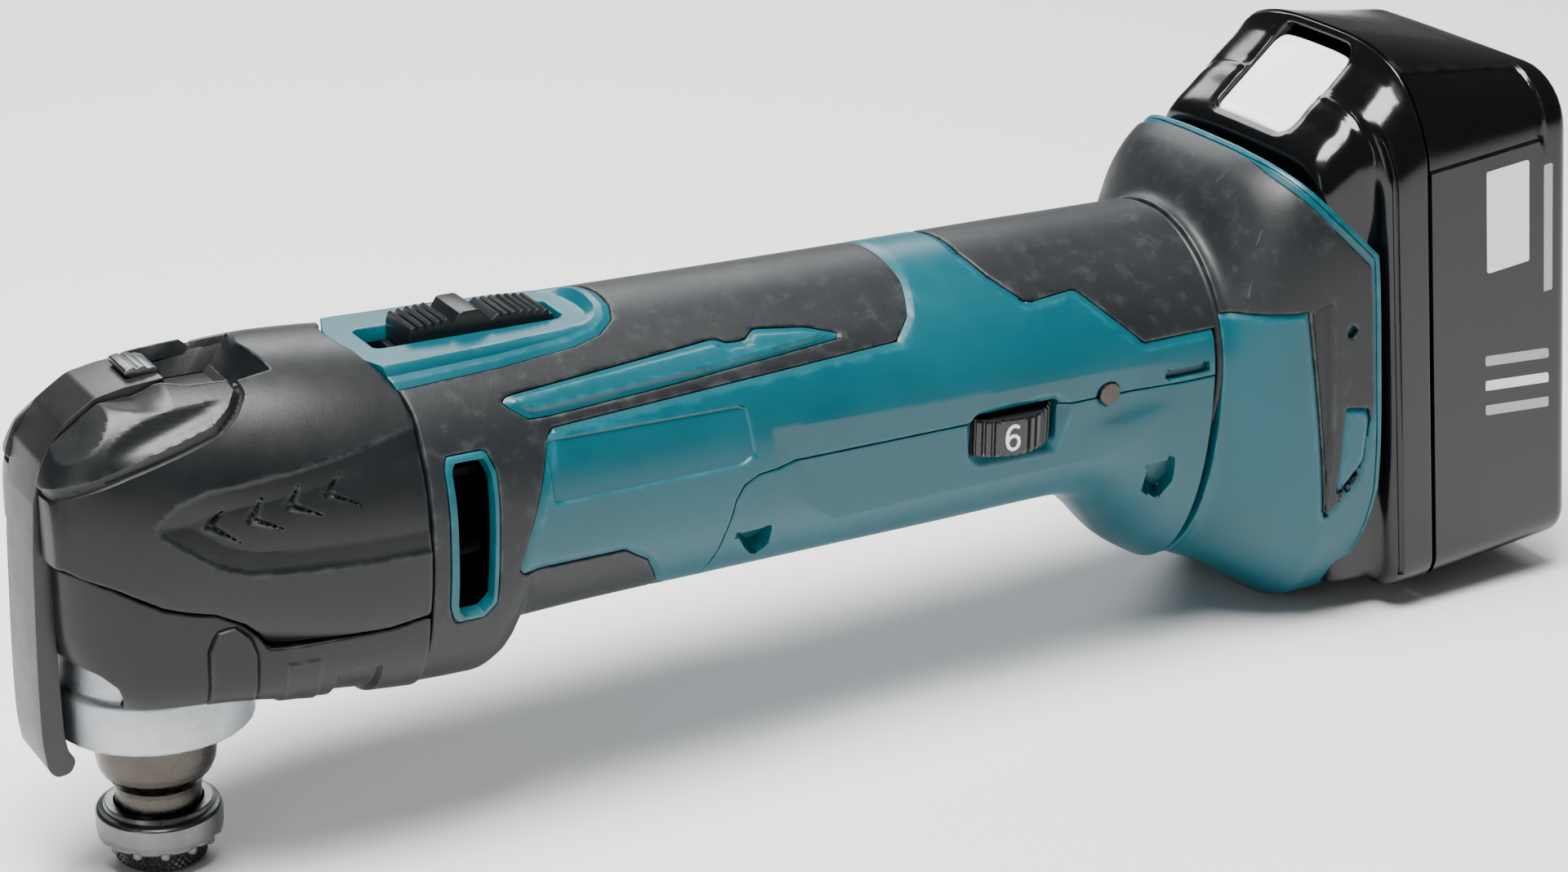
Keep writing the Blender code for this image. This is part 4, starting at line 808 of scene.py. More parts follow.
def teal_shape(P, N):
    h = body_shape(P, N)
    # switch plateau: flat at z = 100.2 inside the inner line
    D = f_panel_in(P)
    t = np.clip(D / 1.6, 0, 1)
    flat = (99.6 - P[:, 2]) / np.maximum(N[:, 2], 0.4)
    return h + np.where(D > 0, flat * t * (t > 0), 0.0)


teal = shell("motor_shell", BS, M["teal"], us, vs,
             keep=[lambda P: f_joint(P) - np.clip((95 - P[:, 2]) * 0.4, 0, 0.9), inv(f_lower), inv(f_slot), inv(f_vent_in), inv(f_dialw), inv(f_hole)],
             feats=teal_feats, lip=0.35, wall=2.6, shape=teal_shape,
             shape_levels=body_levels + [f_panel_in, lambda P: f_panel_in(P) - 1.6])
put(teal, "root", "teal_plastic", "motor_housing")

low = shell("lower_shell", BS, M["teal"], us[us > BU(108)], vs,
            keep=[lambda P: f_lower(P) - 0.25, inv(f_dialw), inv(f_hole)],
            feats=[(f_dialrim, [(0.0, 0.0), (2.2, -1.5)]), (both(f_hole_rim), [(0.0, 0.0), (1.6, -1.0)]), (f_notch, [(-0.1, 0.0), (0.12, -1.6)]),
                   (f_small, [(-0.15, 0.0), (0.2, -3.4)]), (f_vent2, [(-0.15, 0.0), (0.2, -3.4)])],
            lip=0.35, wall=2.6, shape=body_shape, shape_levels=body_levels)
put(low, "root", "teal_plastic", "lower_cover")

skin = shell("front_grip_skin", BS, M["rubber"], BU(np.concatenate([np.arange(37.0, 66, 1.0), np.arange(66, 163, 1.6)])), vs,
             keep=[lambda P: f_joint(P) - 0.15, lambda P: f_rubber(P) - 0.12], lip=0.5, wall=1.35, push=-0.05)
put(skin, "root", "black_rubber", "front_overmould")
rskin = shell("rear_grip_skin", BS, M["rubber"], BU(np.arange(174.0, 230.01, 1.4)), vs,
              keep=[lambda P: f_rskin(P) - 0.12], lip=0.5, wall=1.35, push=-0.05)
put(rskin, "root", "black_rubber", "rear_overmould")

# ------------------------------------------------------------------ head
HEAD = [
    (0.0, -22.9, 8.0, 83.0, 69.0, 2.4, 2.4),
    (1.2, -22.75, 12.0, 85.6, 67.6, 3.0, 2.8),
    (2.6, -22.2, 15.2, 87.5, 66.5, 3.4, 3.0),
    (9.0, -19.5, 17.2, 93.0, 61.5, 3.2, 2.6),
    (15.5, -15.0, 19.6, 97.8, 56.0, 3.0, 2.4),
    (23.0, -8.0, 22.4, 100.4, 50.0, 2.6, 2.3),
    (33.0, 2.0, 25.6, 102.5, 46.0, 2.3, 2.3),
    (43.0, 12.0, 28.2, 103.3, 43.0, 2.15, 2.45),
    (55.0, 24.0, 30.6, 103.5, 40.5, 2.1, 2.65),
    (67.0, 36.0, 32.0, 102.9, 38.6, 2.05, 2.85),
    (77.0, 46.0, 32.3, 102.0, 38.0, 2.0, 2.95)]
HS = super_surf(HEAD, 309, 720)
COVER = [(x - 0.35, z) for x, z in reversed(JOINT_LINE[1:])] + [(45.95, 53.4), (38.0, 51.9), (18.0, 51.2), (14.6, 51.4), (12.8, 54.2), (10.2, 56.8), (4.9, 59.5), (-0.3, 60.5),
                                                             (-4.6, 61.8), (-12.6, 66.4), (-18.6, 69.0), (-21.2, 70.6), (-40, 71.0), (-40, 120)]
f_cover = side(COVER, 0)
CHEEK = [(-30, 84.6), (-22.2, 84.3), (-8.3, 88.9), (8.5, 94.0), (12.6, 96.6), (15.2, 99.2), (14.6, 100.9), (10, 110), (-30, 110)]
f_cheek = side(CHEEK, 0.8)
PAD = [(-6.1, 77.9), (-1.0, 82.2), (4.4, 84.2), (20.2, 86.2), (44.5, 90.0), (60, 92), (60, 67.0), (23.7, 67.4), (11.4, 67.7), (4.6, 70.0)]
f_pad = side(PAD, 2.0)
CHECKS = [[(6.8, 80.7), (3.9, 77.8), (9.6, 74.1)], [(14.2, 82.3), (11.8, 78.4), (17.6, 75.9)], [(21.2, 83.9), (19.0, 80.2), (25.2, 77.7)], [(29.4, 85.3), (26.4, 81.6), (32.6, 78.7)]]
f_checks = either(*[stroke(c, (0.15, 1.05, 0.1)) for c in CHECKS])
CHANNEL_Y = 8.5
f_channel = lambda P: np.minimum(CHANNEL_Y - np.abs(P[:, 1]), np.minimum(18.6 - P[:, 0], 140.0 - P[:, 2]))
WINDOW = [(0.6, -8.5), (6.1, -11.3), (14.8, -12.4), (22.6, -11.4), (20.2, 0.0), (22.6, 11.4), (14.8, 12.4), (6.1, 11.3), (0.6, 8.5)]
f_window = plan(WINDOW, 0.0, 90)
f_channel = lambda P: np.minimum(CHANNEL_Y - np.abs(P[:, 1]), np.minimum(6.0 - P[:, 0], 140.0 - P[:, 2]))


def facet(n, p):
    n = np.array(n, float)
    n /= np.linalg.norm(n)
    return n, float(n @ np.array(p, float))


F_SIDE = facet((-0.085, 0.878, 0.471), (-8.0, 14.4, 97.5))      # in (x, |y|, z)
F_TOP = facet((-0.015, 0.232, 0.973), (-8.0, 14.4, 97.5))
F_FRONT = facet((-0.543, 0.38, 0.749), (-8.0, 14.4, 97.5))


def over(pl, P):
    Q = P.copy()
    Q[:, 1] = np.abs(Q[:, 1])
    return Q @ pl[0] - pl[1]


def head_shape(P, N):
    """Flat facets on both cheeks beside the lever."""
    c = np.maximum.reduce([over(F_SIDE, P), over(F_TOP, P) * np.clip((2.0 - P[:, 0]) / 6.0, 0, 1), over(F_FRONT, P), np.zeros(len(P))])
    d = np.clip((poly_dist(CHEEK, P[:, 0], P[:, 2]) - 1.4) / 2.2, 0, 1)
    return -np.minimum(c, 1.7) * d


head_levels = [lambda P: np.where(P[:, 2] > 84, over(F_SIDE, P), -1), lambda P: np.where(P[:, 2] > 84, over(F_FRONT, P), -1),
               lambda P: over(F_SIDE, P) - over(F_FRONT, P), lambda P: over(F_SIDE, P) - over(F_TOP, P)]

vsh = np.linspace(0, 720, 221)
vsf = np.concatenate([np.arange(0, 186, 3.6), np.arange(186, 244, 1.8), np.arange(244, 476, 3.6), np.arange(476, 534, 1.8), np.arange(534, 720, 3.6), [720.0]])
head = shell("head_shell", HS, M["black"], np.concatenate([np.arange(0, 12, 1.0), np.arange(12, 132, 4.0), np.arange(132, 264, 1.8), np.arange(264, 308.5, 4.0)]), vsf,
             keep=[f_cover, inv(either(f_channel, f_window))],
             feats=[(f_cheek, [(-1.0, 0.0), (-0.4, -0.5), (0.0, -0.45), (1.3, 0.7)]),
                    (f_pad, [(-0.3, 0.0), (0.5, -0.35), (4.2, -0.95)]),
                    (f_checks, [(0.0, 0.0), (0.8, -0.8)])],
             lip=0.55, wall=2.4, shape=head_shape, shape_levels=head_levels)
put(head, "root", "black_plastic", "head_cover")

# channel liner: the dark trough the lever lies in, and the sloping walls of the window behind the cam
def head_z(x, y):
    t = np.array([r[1:] for r in HEAD])
    hw, top, p = (np.interp(x, t[:, 0], t[:, k]) for k in (1, 2, 4))
    return AXIS + (top - AXIS) * (1 - (abs(y) / hw) ** p) ** (1 / p)


def wall_strip(name, top, bot, out, mat):
    """Closed wall between two lines, thickened by the offsets in `out` (plan)."""
    n = len(top)
    T, B, O = np.array(top, float), np.array(bot, float), np.array(out, float)
    V = np.concatenate([T, B, B + O, T + O])
    F = []
    for i in range(n - 1):
        for k in range(4):
            a0, b0 = k * n, ((k + 1) % 4) * n
            F += [(a0 + i, b0 + i, b0 + i + 1), (a0 + i, b0 + i + 1, a0 + i + 1)]
    F += [(0, 3 * n, 2 * n), (0, 2 * n, n), (n - 1, 2 * n - 1, 3 * n - 1), (n - 1, 3 * n - 1, 4 * n - 1)]
    ob = mesh_object(name, W(V), np.array(F), mat, None, 30)
    bm = bmesh.new()
    bm.from_mesh(ob.data)
    bmesh.ops.recalc_face_normals(bm, faces=bm.faces)
    bm.to_mesh(ob.data)
    bm.free()
    return ob


wt = [(0.8, -8.75), (3.4, -10.1), (6.1, -11.45), (10.5, -12.1), (14.8, -12.55), (18.8, -12.1), (22.75, -11.55), (22.0, -8.0), (21.2, -4.0), (20.35, 0.0), (21.2, 4.0), (22.0, 8.0), (22.75, 11.55),
      (18.8, 12.1), (14.8, 12.55), (10.5, 12.1), (6.1, 11.45), (3.4, 10.1), (0.8, 8.75)]
wb = [(0.8, -8.6), (3.4, -8.6), (6.1, -8.6), (10.5, -8.6), (13.0, -8.6), (15.2, -8.6), (17.2, -8.6), (17.2, -6.0), (17.2, -3.0), (17.2, 0.0), (17.2, 3.0), (17.2, 6.0), (17.2, 8.6),
      (15.2, 8.6), (13.0, 8.6), (10.5, 8.6), (6.1, 8.6), (3.4, 8.6), (0.8, 8.6)]
wtop = [(x, y, head_z(x, y) - 0.45) for x, y in wt]
wbot = [(x, y, 95.4) for x, y in wb]
wout = [(0, -0.9, -0.2)] * 6 + [(0.9, -0.9, -0.2)] + [(0.9, 0, -0.2)] * 5 + [(0.9, 0.9, -0.2)] + [(0, 0.9, -0.2)] * 6
win = wall_strip("window_walls", wtop, wbot, wout, M["black"])
put(win, "root", "black_plastic")
LINER = [(-20.6, 69.5), (-21.2, 84.2), (-17.2, 91.0), (-8.0, 97.4), (2.6, 99.4), (2.6, 79.0), (-10.0, 79.0), (-13.0, 69.5)]
liner = extruded("channel_liner", LINER, -CHANNEL_Y - 0.2, -CHANNEL_Y - 1.6, M["black"], bevel=0)
liner2 = extruded("channel_liner_far", LINER, CHANNEL_Y + 0.2, CHANNEL_Y + 1.6, M["black"], bevel=0)
floor_l = extruded("channel_floor", [(1.6, 95.2), (16.6, 95.2), (17.6, 96.6), (19.0, 96.6), (19.0, 92.0), (1.6, 92.0)], -CHANNEL_Y - 0.2, CHANNEL_Y + 0.2, M["dark"], bevel=0.2)
for o in (liner, liner2, floor_l):
    put(o, "root", "black_plastic")

# lower cover of the head
LOWER = [
    (0.0, -21.3, 0.02, 60.02, 59.98, 6.0, 3.0),
    (2.0, -21.2, 6.0, 78.0, 53.5, 7.0, 2.6),
    (3.6, -20.8, 10.0, 79.0, 50.5, 8.0, 3.0),
    (7.0, -18.5, 14.6, 80.0, 45.0, 8.0, 4.0),
    (12.0, -14.0, 18.6, 80.0, 40.4, 8.0, 5.5),
    (18.5, -8.0, 21.6, 80.0, 39.0, 8.0, 7.0),
    (26.5, 0.0, 23.4, 80.0, 38.8, 8.0, 7.5),
    (36.5, 10.0, 25.0, 80.0, 38.4, 8.0, 7.5),
    (42.5, 16.0, 26.4, 80.0, 36.8, 8.0, 5.5),
    (48.5, 22.0, 27.8, 80.0, 34.4, 8.0, 3.6),
    (62.5, 36.0, 29.8, 80.0, 32.0, 8.0, 3.0),
    (73.0, 46.0, 30.6, 80.0, 31.2, 8.0, 3.0)]
LSf = super_surf(LOWER, 293, 720, zc=60.0)
UNDER_ZONE = [(45.95, 10), (45.95, 53.1), (38.0, 51.6), (18.0, 50.9), (14.4, 51.1), (12.6, 53.9), (10.0, 56.5), (4.8, 59.2), (-0.4, 60.2), (-4.7, 61.5), (-12.8, 66.0), (-18.8, 68.6), (-40, 70), (-40, 49),
              (-19.0, 49.6), (-15.8, 48.2), (-13.0, 45.6), (-11.9, 42.0), (-11.6, 38.0), (-11.6, 10)]
f_under = side(UNDER_ZONE, 0.4)
TAB = [(3.4, 20), (3.4, 52.0), (5.0, 55.6), (8.6, 56.4), (11.4, 53.8), (12.6, 50.0), (12.6, 20)]
f_tab = side(TAB, 0.3)
f_collar_hole = lambda P: np.maximum(np.hypot(P[:, 0], P[:, 1]) - 20.0, P[:, 2] - 40.15)
POCKET = [(28.0, 20), (28.0, 43.0), (37.0, 44.0), (37.0, 20)]
f_pocket = side(POCKET, 0.6)
f_rib = side([(17.6, 20), (17.6, 47.5), (24.6, 47.5), (25.6, 36.6), (24.6, 20)], 0.6)
lows = shell("head_lower_shell", LSf, M["black"], np.concatenate([np.arange(0, 18, 1.5), np.arange(18, 292, 3.6), [292.0]]), vsh,
             keep=[f_under, f_collar_hole],
             feats=[(f_tab, [(-0.5, 0.0), (0.0, -0.35), (0.4, 0.15)]), (f_pocket, [(0.0, 0.0), (0.9, -1.0)]), (f_rib, [(-0.2, 0.0), (0.5, 0.35)])],
             lip=0.5, wall=2.2)
put(lows, "root", "black_plastic", "head_lower_cover")

# ------------------------------------------------------------------ collar, spindle, flange, bolt
collar = turned("collar_casting", fillet([(14.2, 79.0), (16.4, 78.6), (16.4, 52.0), (18.3, 49.0), (18.6, 41.2), (19.0, 40.6), (19.7, 39.9), (19.7, 31.0), (19.2, 29.93), (14.4, 29.93), (14.2, 30.6), (14.2, 42.0)], 0.45, 4),
                M["cast"], seg=200)
put(collar, "root", "cast_aluminium")
spindle = turned("spindle_turned", fillet([(7.0, 60.0), (8.4, 44.0), (8.4, 31.5), (11.6, 31.0), (11.9, 27.0), (11.9, 22.6), (11.6, 20.6), (10.9, 18.9), (9.5, 17.2), (8.75, 16.3), (8.5, 15.0), (8.5, 8.6), (8.9, 7.2), (7.4, 7.0), (7.4, 4.6), (4.5, 4.4), (4.5, 9.0)], 0.35, 4),
                 M["bronze"], seg=180)
put(spindle, "spindle", "dark_steel", "spindle")


def flange_r(r, h, A):
    k = 0.5 + 0.5 * np.cos(12 * A + math.pi)
    return np.where((h < 5.6) & (r > 11.2), r - 0.55 * np.clip(k * 2.2 - 1.2, 0, 1), r)


flange = turned("flange_turned", fillet([(8.8, 8.0), (8.8, 11.9), (10.6, 11.9), (10.9, 10.9), (12.0, 10.6), (12.48, 10.1), (12.48, 6.4), (12.3, 5.5), (12.3, 5.0), (11.9, 4.6), (7.8, 4.6), (7.8, 6.9), (8.8, 7.0)], 0.22, 3),
                M["steel"], seg=240, rfun=flange_r)
pins = []
for i in range(12):
    a = 2 * math.pi * (i + 0.5) / 12
    p = turned("flange_pin_%02d" % i, fillet([(0.01, 5.2), (1.05, 5.2), (1.05, 3.5), (0.55, 3.05), (0.01, 3.0)], 0.2, 2), M["steel"], centre=(10.4 * math.cos(a), 10.4 * math.sin(a), 0), seg=20)
    put(p, "spindle", "steel")
put(flange, "spindle", "steel", "accessory_flange")


def knurl_r(r, h, A):
    k1 = np.abs(((A * 42 / (2 * math.pi) + h / 1.55) % 1.0) - 0.5) * 2
    k2 = np.abs(((A * 42 / (2 * math.pi) - h / 1.55) % 1.0) - 0.5) * 2
    inside = (r > 8.6) & (h < 3.35) & (h > 0.0)
    return np.where(inside, r - 0.34 + 0.36 * np.minimum(k1, k2) * 1.6, r)


kp = [(0.01, 6.5), (4.0, 6.5), (4.0, 4.3), (8.3, 4.15), (8.75, 3.7)] + [(8.95, 3.4 - 3.4 * k / 22) for k in range(23)] + [(8.6, -0.35), (8.1, -0.78), (4.6, -0.8), (4.2, -0.35), (0.01, -0.3)]
bolt = turned("clamp_bolt_knurled", kp, M["knurl"], seg=504, rfun=knurl_r)
put(bolt, "bolt", "dark_steel")
# shank of the bolt inside the spindle
shank = turned("clamp_bolt_shank", fillet([(0.01, 58.0), (3.2, 58.0), (4.0, 57.0), (4.0, 52.0), (3.3, 51.4), (3.3, 49.6), (4.0, 49.0), (4.0, 6.0), (0.01, 6.0)], 0.2, 2), M["bronze"], seg=64)
put(shank, "bolt", "dark_steel")
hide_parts("clamp_bolt")

# ------------------------------------------------------------------ clamp lever and cam
LEVER = [(3.0, 101.9), (-5.0, 101.3), (-10.6, 100.2), (-17.0, 96.0), (-21.6, 89.4), (-23.6, 81.0), (-24.3, 70.0),
         (-24.9, 50.0), (-25.0, 40.0), (-24.9, 32.0), (-24.1, 26.4), (-22.6, 24.6), (-19.6, 25.0), (-18.5, 27.6), (-19.9, 29.6),
         (-20.5, 33.0), (-20.7, 40.0), (-20.9, 60.0), (-20.6, 78.0), (-19.0, 84.0), (-15.0, 89.6), (-13.0, 87.9), (-9.0, 87.2),
         (-4.6, 89.6), (-2.0, 93.2), (-1.6, 97.6), (3.0, 98.4)]
rl = [0.3, 0.8, 0.6, 0.6, 0.6, 0.6, 2.0, 4.0, 4.0, 4.0, 2.0, 1.4, 1.2, 1.0, 1.0, 3.0, 4.0, 4.0, 4.0, 2.0, 0.6, 1.0, 2.0, 2.0, 1.5, 0.5, 0.5]
lever = extruded("lever_body", round_poly(LEVER, rl, 4), -8.0, 8.0, M["lever"], bevel=0.8, segs=4)
put(lever, "lever", "black_plastic", "lock_lever")
cam = extruded("cam_tip", round_poly([(-3.4, 102.0), (-3.4, 103.2), (-1.6, 103.6), (-1.2, 103.1), (-0.4, 103.5), (0.6, 103.4), (1.0, 102.9), (1.8, 103.1), (3.2, 102.6), (3.6, 101.2), (3.4, 98.0), (-1.2, 98.0), (-1.0, 101.4)], 0.35, 3),
               -4.6, 4.6, M["steel"], bevel=0.35)
put(cam, "lever", "steel", "lever_cam")

# ------------------------------------------------------------------ slide switch and dial
prof = [(53.6, 97.4), (53.6, 100.6)]
x = 54.0
for k in range(5):
    z = 102.2 + 0.28 * k - 0.03 * k * k
    prof += [(x, z), (x + 0.55, z + 0.35), (x + 1.1, z + 0.1), (x + 1.35, z - 0.75)]
    x += 1.76
prof += [(62.9, 101.6), (64.4, 103.9), (65.2, 104.1), (68.0, 104.1), (68.8, 103.8), (71.2, 101.4)]
x = 72.2
for k in range(7):
    prof += [(x, 102.2 + 0.06 * k - 0.03 * k * k), (x + 0.5, 102.5 + 0.06 * k - 0.03 * k * k), (x + 1.0, 102.3 + 0.06 * k - 0.03 * k * k), (x + 1.3, 101.4 + 0.06 * k - 0.03 * k * k)]
    x += 1.72
prof += [(84.4, 100.6), (84.8, 99.8), (84.8, 97.4)]
knob = extruded("switch_knob_ribbed", prof, -5.8, 5.8, M["black"], bevel=0.45, segs=3)
put(knob, "switch", "black_plastic", "switch_knob")


def dial_r(r, h, A):
    k = 0.5 + 0.5 * np.cos(40 * A)
    return np.where((r > 12.2) & (np.abs(h) < 3.7), r - 0.75 * (k > 0.62) * 1.0 * np.clip((k - 0.62) * 6, 0, 1), r)


dp = [(0.01, 4.3), (12.0, 4.3), (12.6, 4.1), (12.95, 3.6)] + [(13.0, 3.4 - 6.8 * k / 12) for k in range(13)] + [(12.95, -3.6), (12.6, -4.1), (12.0, -4.3), (0.01, -4.3)]
dial = turned("dial_wheel", dp, M["dial"], centre=(179.5, -18.3, 66.0), seg=480, rfun=dial_r)
put(dial, "dial", "gloss_black", "speed_dial")

dg_a = np.radians(np.linspace(-125.0, -70.0, 121))
dg_h = np.linspace(-3.8, 3.8, 77)
DA, DH = np.meshgrid(dg_a, dg_h, indexing='ij')
DSf = Surf(np.stack([179.5 + 12.95 * np.cos(DA), -18.3 + 12.95 * np.sin(DA), 66.0 + DH], -1), False, hint=(0, -1, 0))
SIX = [(1.05, 2.3), (0.45, 2.62), (-0.25, 2.55), (-0.85, 2.1), (-1.25, 1.2), (-1.38, 0.1), (-1.35, -1.0), (-1.0, -2.0), (-0.25, -2.55), (0.5, -2.45), (1.15, -1.85), (1.32, -0.95),
       (1.1, -0.1), (0.45, 0.42), (-0.3, 0.4), (-0.95, -0.05), (-1.28, -0.7)]


def f_six(P):
    a = np.arctan2(P[:, 1] + 18.3, P[:, 0] - 179.5)
    q = np.stack([(a - math.radians(DIGIT_A)) * 12.95, P[:, 2] - 66.0], -1)
    best = np.full(len(q), 1e9)
    for p0, p1 in zip(np.array(SIX[:-1]), np.array(SIX[1:])):
        e = p1 - p0
        w = q - p0
        t = np.clip((w @ e) / (e @ e), 0, 1)
        best = np.minimum(best, np.linalg.norm(w - t[:, None] * e, axis=1))
    return 0.36 - best


DIGIT_A = -98.0
plate = shell("dial_digit_plate", DSf, M["dial"], np.arange(0, 120.1, 2.0), np.arange(0, 76.1, 2.0), keep=[lambda P: 2.9 - np.abs((np.arctan2(P[:, 1] + 18.3, P[:, 0] - 179.5) - math.radians(DIGIT_A)) * 12.95)], lip=0.2, wall=1.2, push=0.02)
put(plate, "dial", "gloss_black")
digit = shell("dial_digit", DSf, M["ink_white"], np.arange(0, 120.1, 1.5), np.arange(0, 76.1, 1.5), keep=[f_six], lip=0.0, wall=0.2, push=0.09)
put(digit, "dial", "white_plastic")

# ------------------------------------------------------------------ ring
ring = turned("joint_ring_rubber", fillet([(24.5, 230.4), (29.4, 230.4), (29.9, 231.2), (29.4, 232.9), (24.5, 232.9)], 0.3, 3), M["rubber"], centre=(0, 0, AXIS), seg=160, axis='X', closed_ring=False)
put(ring, "root", "black_rubber", "joint_ring")

# ------------------------------------------------------------------ rear housing
REAR = [
    (230.9, 230.9, 30.3, 100.7, 18.9, 2.0, 2.2),
    (233.3, 233.3, 30.5, 100.9, 19.4, 2.0, 2.2),
    (238.0, 238.0, 32.8, 107.2, 18.0, 2.5, 2.4),
    (242.0, 242.0, 34.6, 111.2, 16.6, 3.2, 2.6),
    (248.0, 248.0, 36.2, 114.4, 13.0, 3.8, 2.8),
    (254.0, 254.0, 36.7, 116.6, 9.0, 4.0, 3.0),
    (259.0, 259.0, 36.8, 117.0, 6.4, 4.0, 3.2),
    (266.0, 266.0, 36.8, 117.0, 6.4, 4.0, 3.2),
    (276.0, 276.0, 36.8, 117.0, 10.0, 4.0, 3.2)]
RS = super_surf(REAR, 182, 720)
RIM = [(244.2, 111.4), (247.3, 110.6), (249.0, 103.8), (252.0, 100.6), (256.4, 98.7), (267.6, 93.8), (269.4, 91.6), (272.0, 58.5), (272.4, 34.0), (271.8, 26.0), (269.4, 18.0), (266.6, 9.0), (266.6, -20), (225, -20), (225, 140), (245.2, 140), (246.2, 113.4)]
f_rear = side([(225, -20), (225, 150), (247.4, 150), (247.4, 113.8), (256.6, 103.6), (267.0, 93.6), (272.4, 38.0), (271.8, 28.0), (269.4, 18.0), (266.6, 9.0), (266.6, -20)], 0.8)
GRIP = [(225.0, 83.2), (248.8, 83.6), (258.2, 33.0), (261.4, 36.0), (268.6, 44.2), (269.2, 50), (267.9, 60.0), (265.4, 90.2), (264.0, 91.8), (256.0, 95.0), (252.6, 96.8), (249.6, 99.8), (246.6, 107.6), (244.6, 112.5), (243.6, 125), (225.0, 125)]
f_grip = side([(225.0, 83.4), (248.8, 83.4), (258.0, 33.1), (266.2, 42.6), (268.4, 60.0), (265.0, 91.4), (255.2, 101.0), (246.0, 111.2), (244.6, 125), (225.0, 125)], 0.7)
PATCH = [(260.4, 59.6), (266.6, 58.6), (267.4, 56.0), (267.2, 46.0), (260.6, 38.4)]
f_patch = side(PATCH, 0.6)
WEDGE = [(249.4, 83.6), (255.4, 85.2), (257.2, 61.0), (258.3, 34.2)]
f_wedge = side(WEDGE, 0.3)
f_rhole = lambda P: 1.5 - np.hypot(P[:, 0] - 260.8, P[:, 2] - 77.2)
f_rline = lambda P: f_rear(P) - 1.35
ur = (np.concatenate([np.arange(230.9, 260, 0.8), np.arange(260, 276.0, 1.1)]) - 230.9) * 181 / 45.1
vr = np.linspace(0, 720, 241)
f_gz = both(f_grip, inv(f_patch))
for nm, s, vv in (("left", -1, vr[120:]), ("right", 1, vr[:121])):
    h = shell("rear_shell_" + nm, RS, M["teal"], ur, vv,
              keep=[f_rear, lambda P: P[:, 0] - 231.6],
              feats=[(f_gz, [(-1.3, 0.0), (-0.9, -0.15), (-0.05, -0.4), (0.06, -1.6)]), (f_rline, [(-0.22, 0.0), (-0.1, -0.35), (0.1, -0.35), (0.22, 0.0)]),
                     (f_patch, [(-0.05, -0.2), (0.05, -0.35), (0.9, 0.0)])],
              lip=0.4, wall=2.6)
    put(h, "root", "teal_plastic", "rear_housing_" + nm)
grip = shell("rear_dome_grip", RS, M["rubber"], ur, vr,
             keep=[lambda P: f_gz(P) - 0.12, inv(f_rhole), lambda P: P[:, 0] - 231.7],
             feats=[(f_wedge, [(0.0, 0.0), (1.0, -0.95)])],
             lip=0.5, wall=1.35, push=-0.05)
put(grip, "root", "black_rubber", "rear_grip")


# ------------------------------------------------------------------ battery
def round_ring(hw, l0, l1, r_top, r_bot, crown, pc, nc=16, nt=60, ns=60):
    """Rounded rectangle across the battery, its upper side crowned; returned as (y, l) points."""
    pts = []

    def arc(cy, cl, r, t0, t1):
        for i in range(nc + 1):
            t = math.radians(t0 + (t1 - t0) * i / nc)
            pts.append((cy + r * math.cos(t), cl + r * math.sin(t)))

    def line(a, b, n):
        for i in range(1, n):
            pts.append((a[0] + (b[0] - a[0]) * i / n, a[1] + (b[1] - a[1]) * i / n))
    arc(hw - r_bot, l1 - r_bot, r_bot, 0, 90)
    line((hw - r_bot, l1), (-hw + r_bot, l1), nt)
    arc(-hw + r_bot, l1 - r_bot, r_bot, 90, 180)
    line((-hw, l1 - r_bot), (-hw, l0 + r_top), ns)
    arc(-hw + r_top, l0 + r_top, r_top, 180, 270)
    line((-hw + r_top, l0), (hw - r_top, l0), nt)
    arc(hw - r_top, l0 + r_top, r_top, 270, 360)
    line((hw, l0 + r_top), (hw, l1 - r_bot), ns)
    q = np.array(pts)
    f = np.clip(1.0 - (np.abs(q[:, 0]) / (hw + 0.01)) ** pc, 0, 1)
    q[:, 1] -= np.where(q[:, 1] < (l0 + l1) / 2, crown * f, 0.0)
    return q


def bat_surf(rows, n, cap=None):
    """rows: (s, d, half width, l top side, l bottom, r top, r bottom, crown, crown exponent)."""
    _, c = smooth_table(rows, n)
    rings = []
    for d, hw, l0, l1, rt, rb, cr, pc in c:
        q = round_ring(hw, l0, l1, rt, rb, cr, pc)
        rings.append(Bt(q[:, 1], d, q[:, 0]))
    return Surf(np.array(rings), True)


HW, BL = 36.75, 113.0


def crown_at(d):
    return 0.4 + 12.4 * max(0.0, d - 1.0) / 38.1, 0.6 + 0.7 * d / 39.1


def case_row(s, d, inset, rt=12.0, rb=7.5):
    c, l0 = crown_at(d)
    return (s, d, HW - inset, l0 + inset, BL - inset, max(rt - inset * 0.6, 1), max(rb - inset * 0.6, 1), c, 3.4)


rows = [(0.0, 0.0, 0.02, 56.48, 56.52, 0.01, 0.01, 0.0, 3.4), (1.0, 0.0, 12.0, 40.0, 73.0, 3.0, 3.0, 0.0, 3.4), (3.0, 0.0, 24.0, 18.0, 94.0, 5.0, 5.0, 0.1, 3.4)]
s0 = 4.0
for k in range(7):
    t = math.pi / 2 * k / 6
    rows.append(case_row(s0 + k * 0.8, 3.4 * (1 - math.cos(t)) + 0.0, 3.4 * (1 - math.sin(t))))
rows.append(case_row(20.0, 12.0, 0.0))
rows.append(case_row(34.0, 25.0, 0.0))
rows.append(case_row(48.0, 38.9, 0.0))
CS = bat_surf(rows, 193)


def bat_coords(P):
    dx, dz = 315.48 - P[:, 0], 128.67 - P[:, 2]
    return -dx * SB + dz * CB, dx * CB + dz * SB       # l, d


def bat_side(pts, r=0.0, half='near'):
    core = shrink(pts, r) if r else pts

    def f(P):
        l, d = bat_coords(P)
        q = poly_dist(core, d, l) + r
        return np.minimum(q, (-P[:, 1] - 20.0) if half == 'near' else (P[:, 1] - 20.0))
    return f


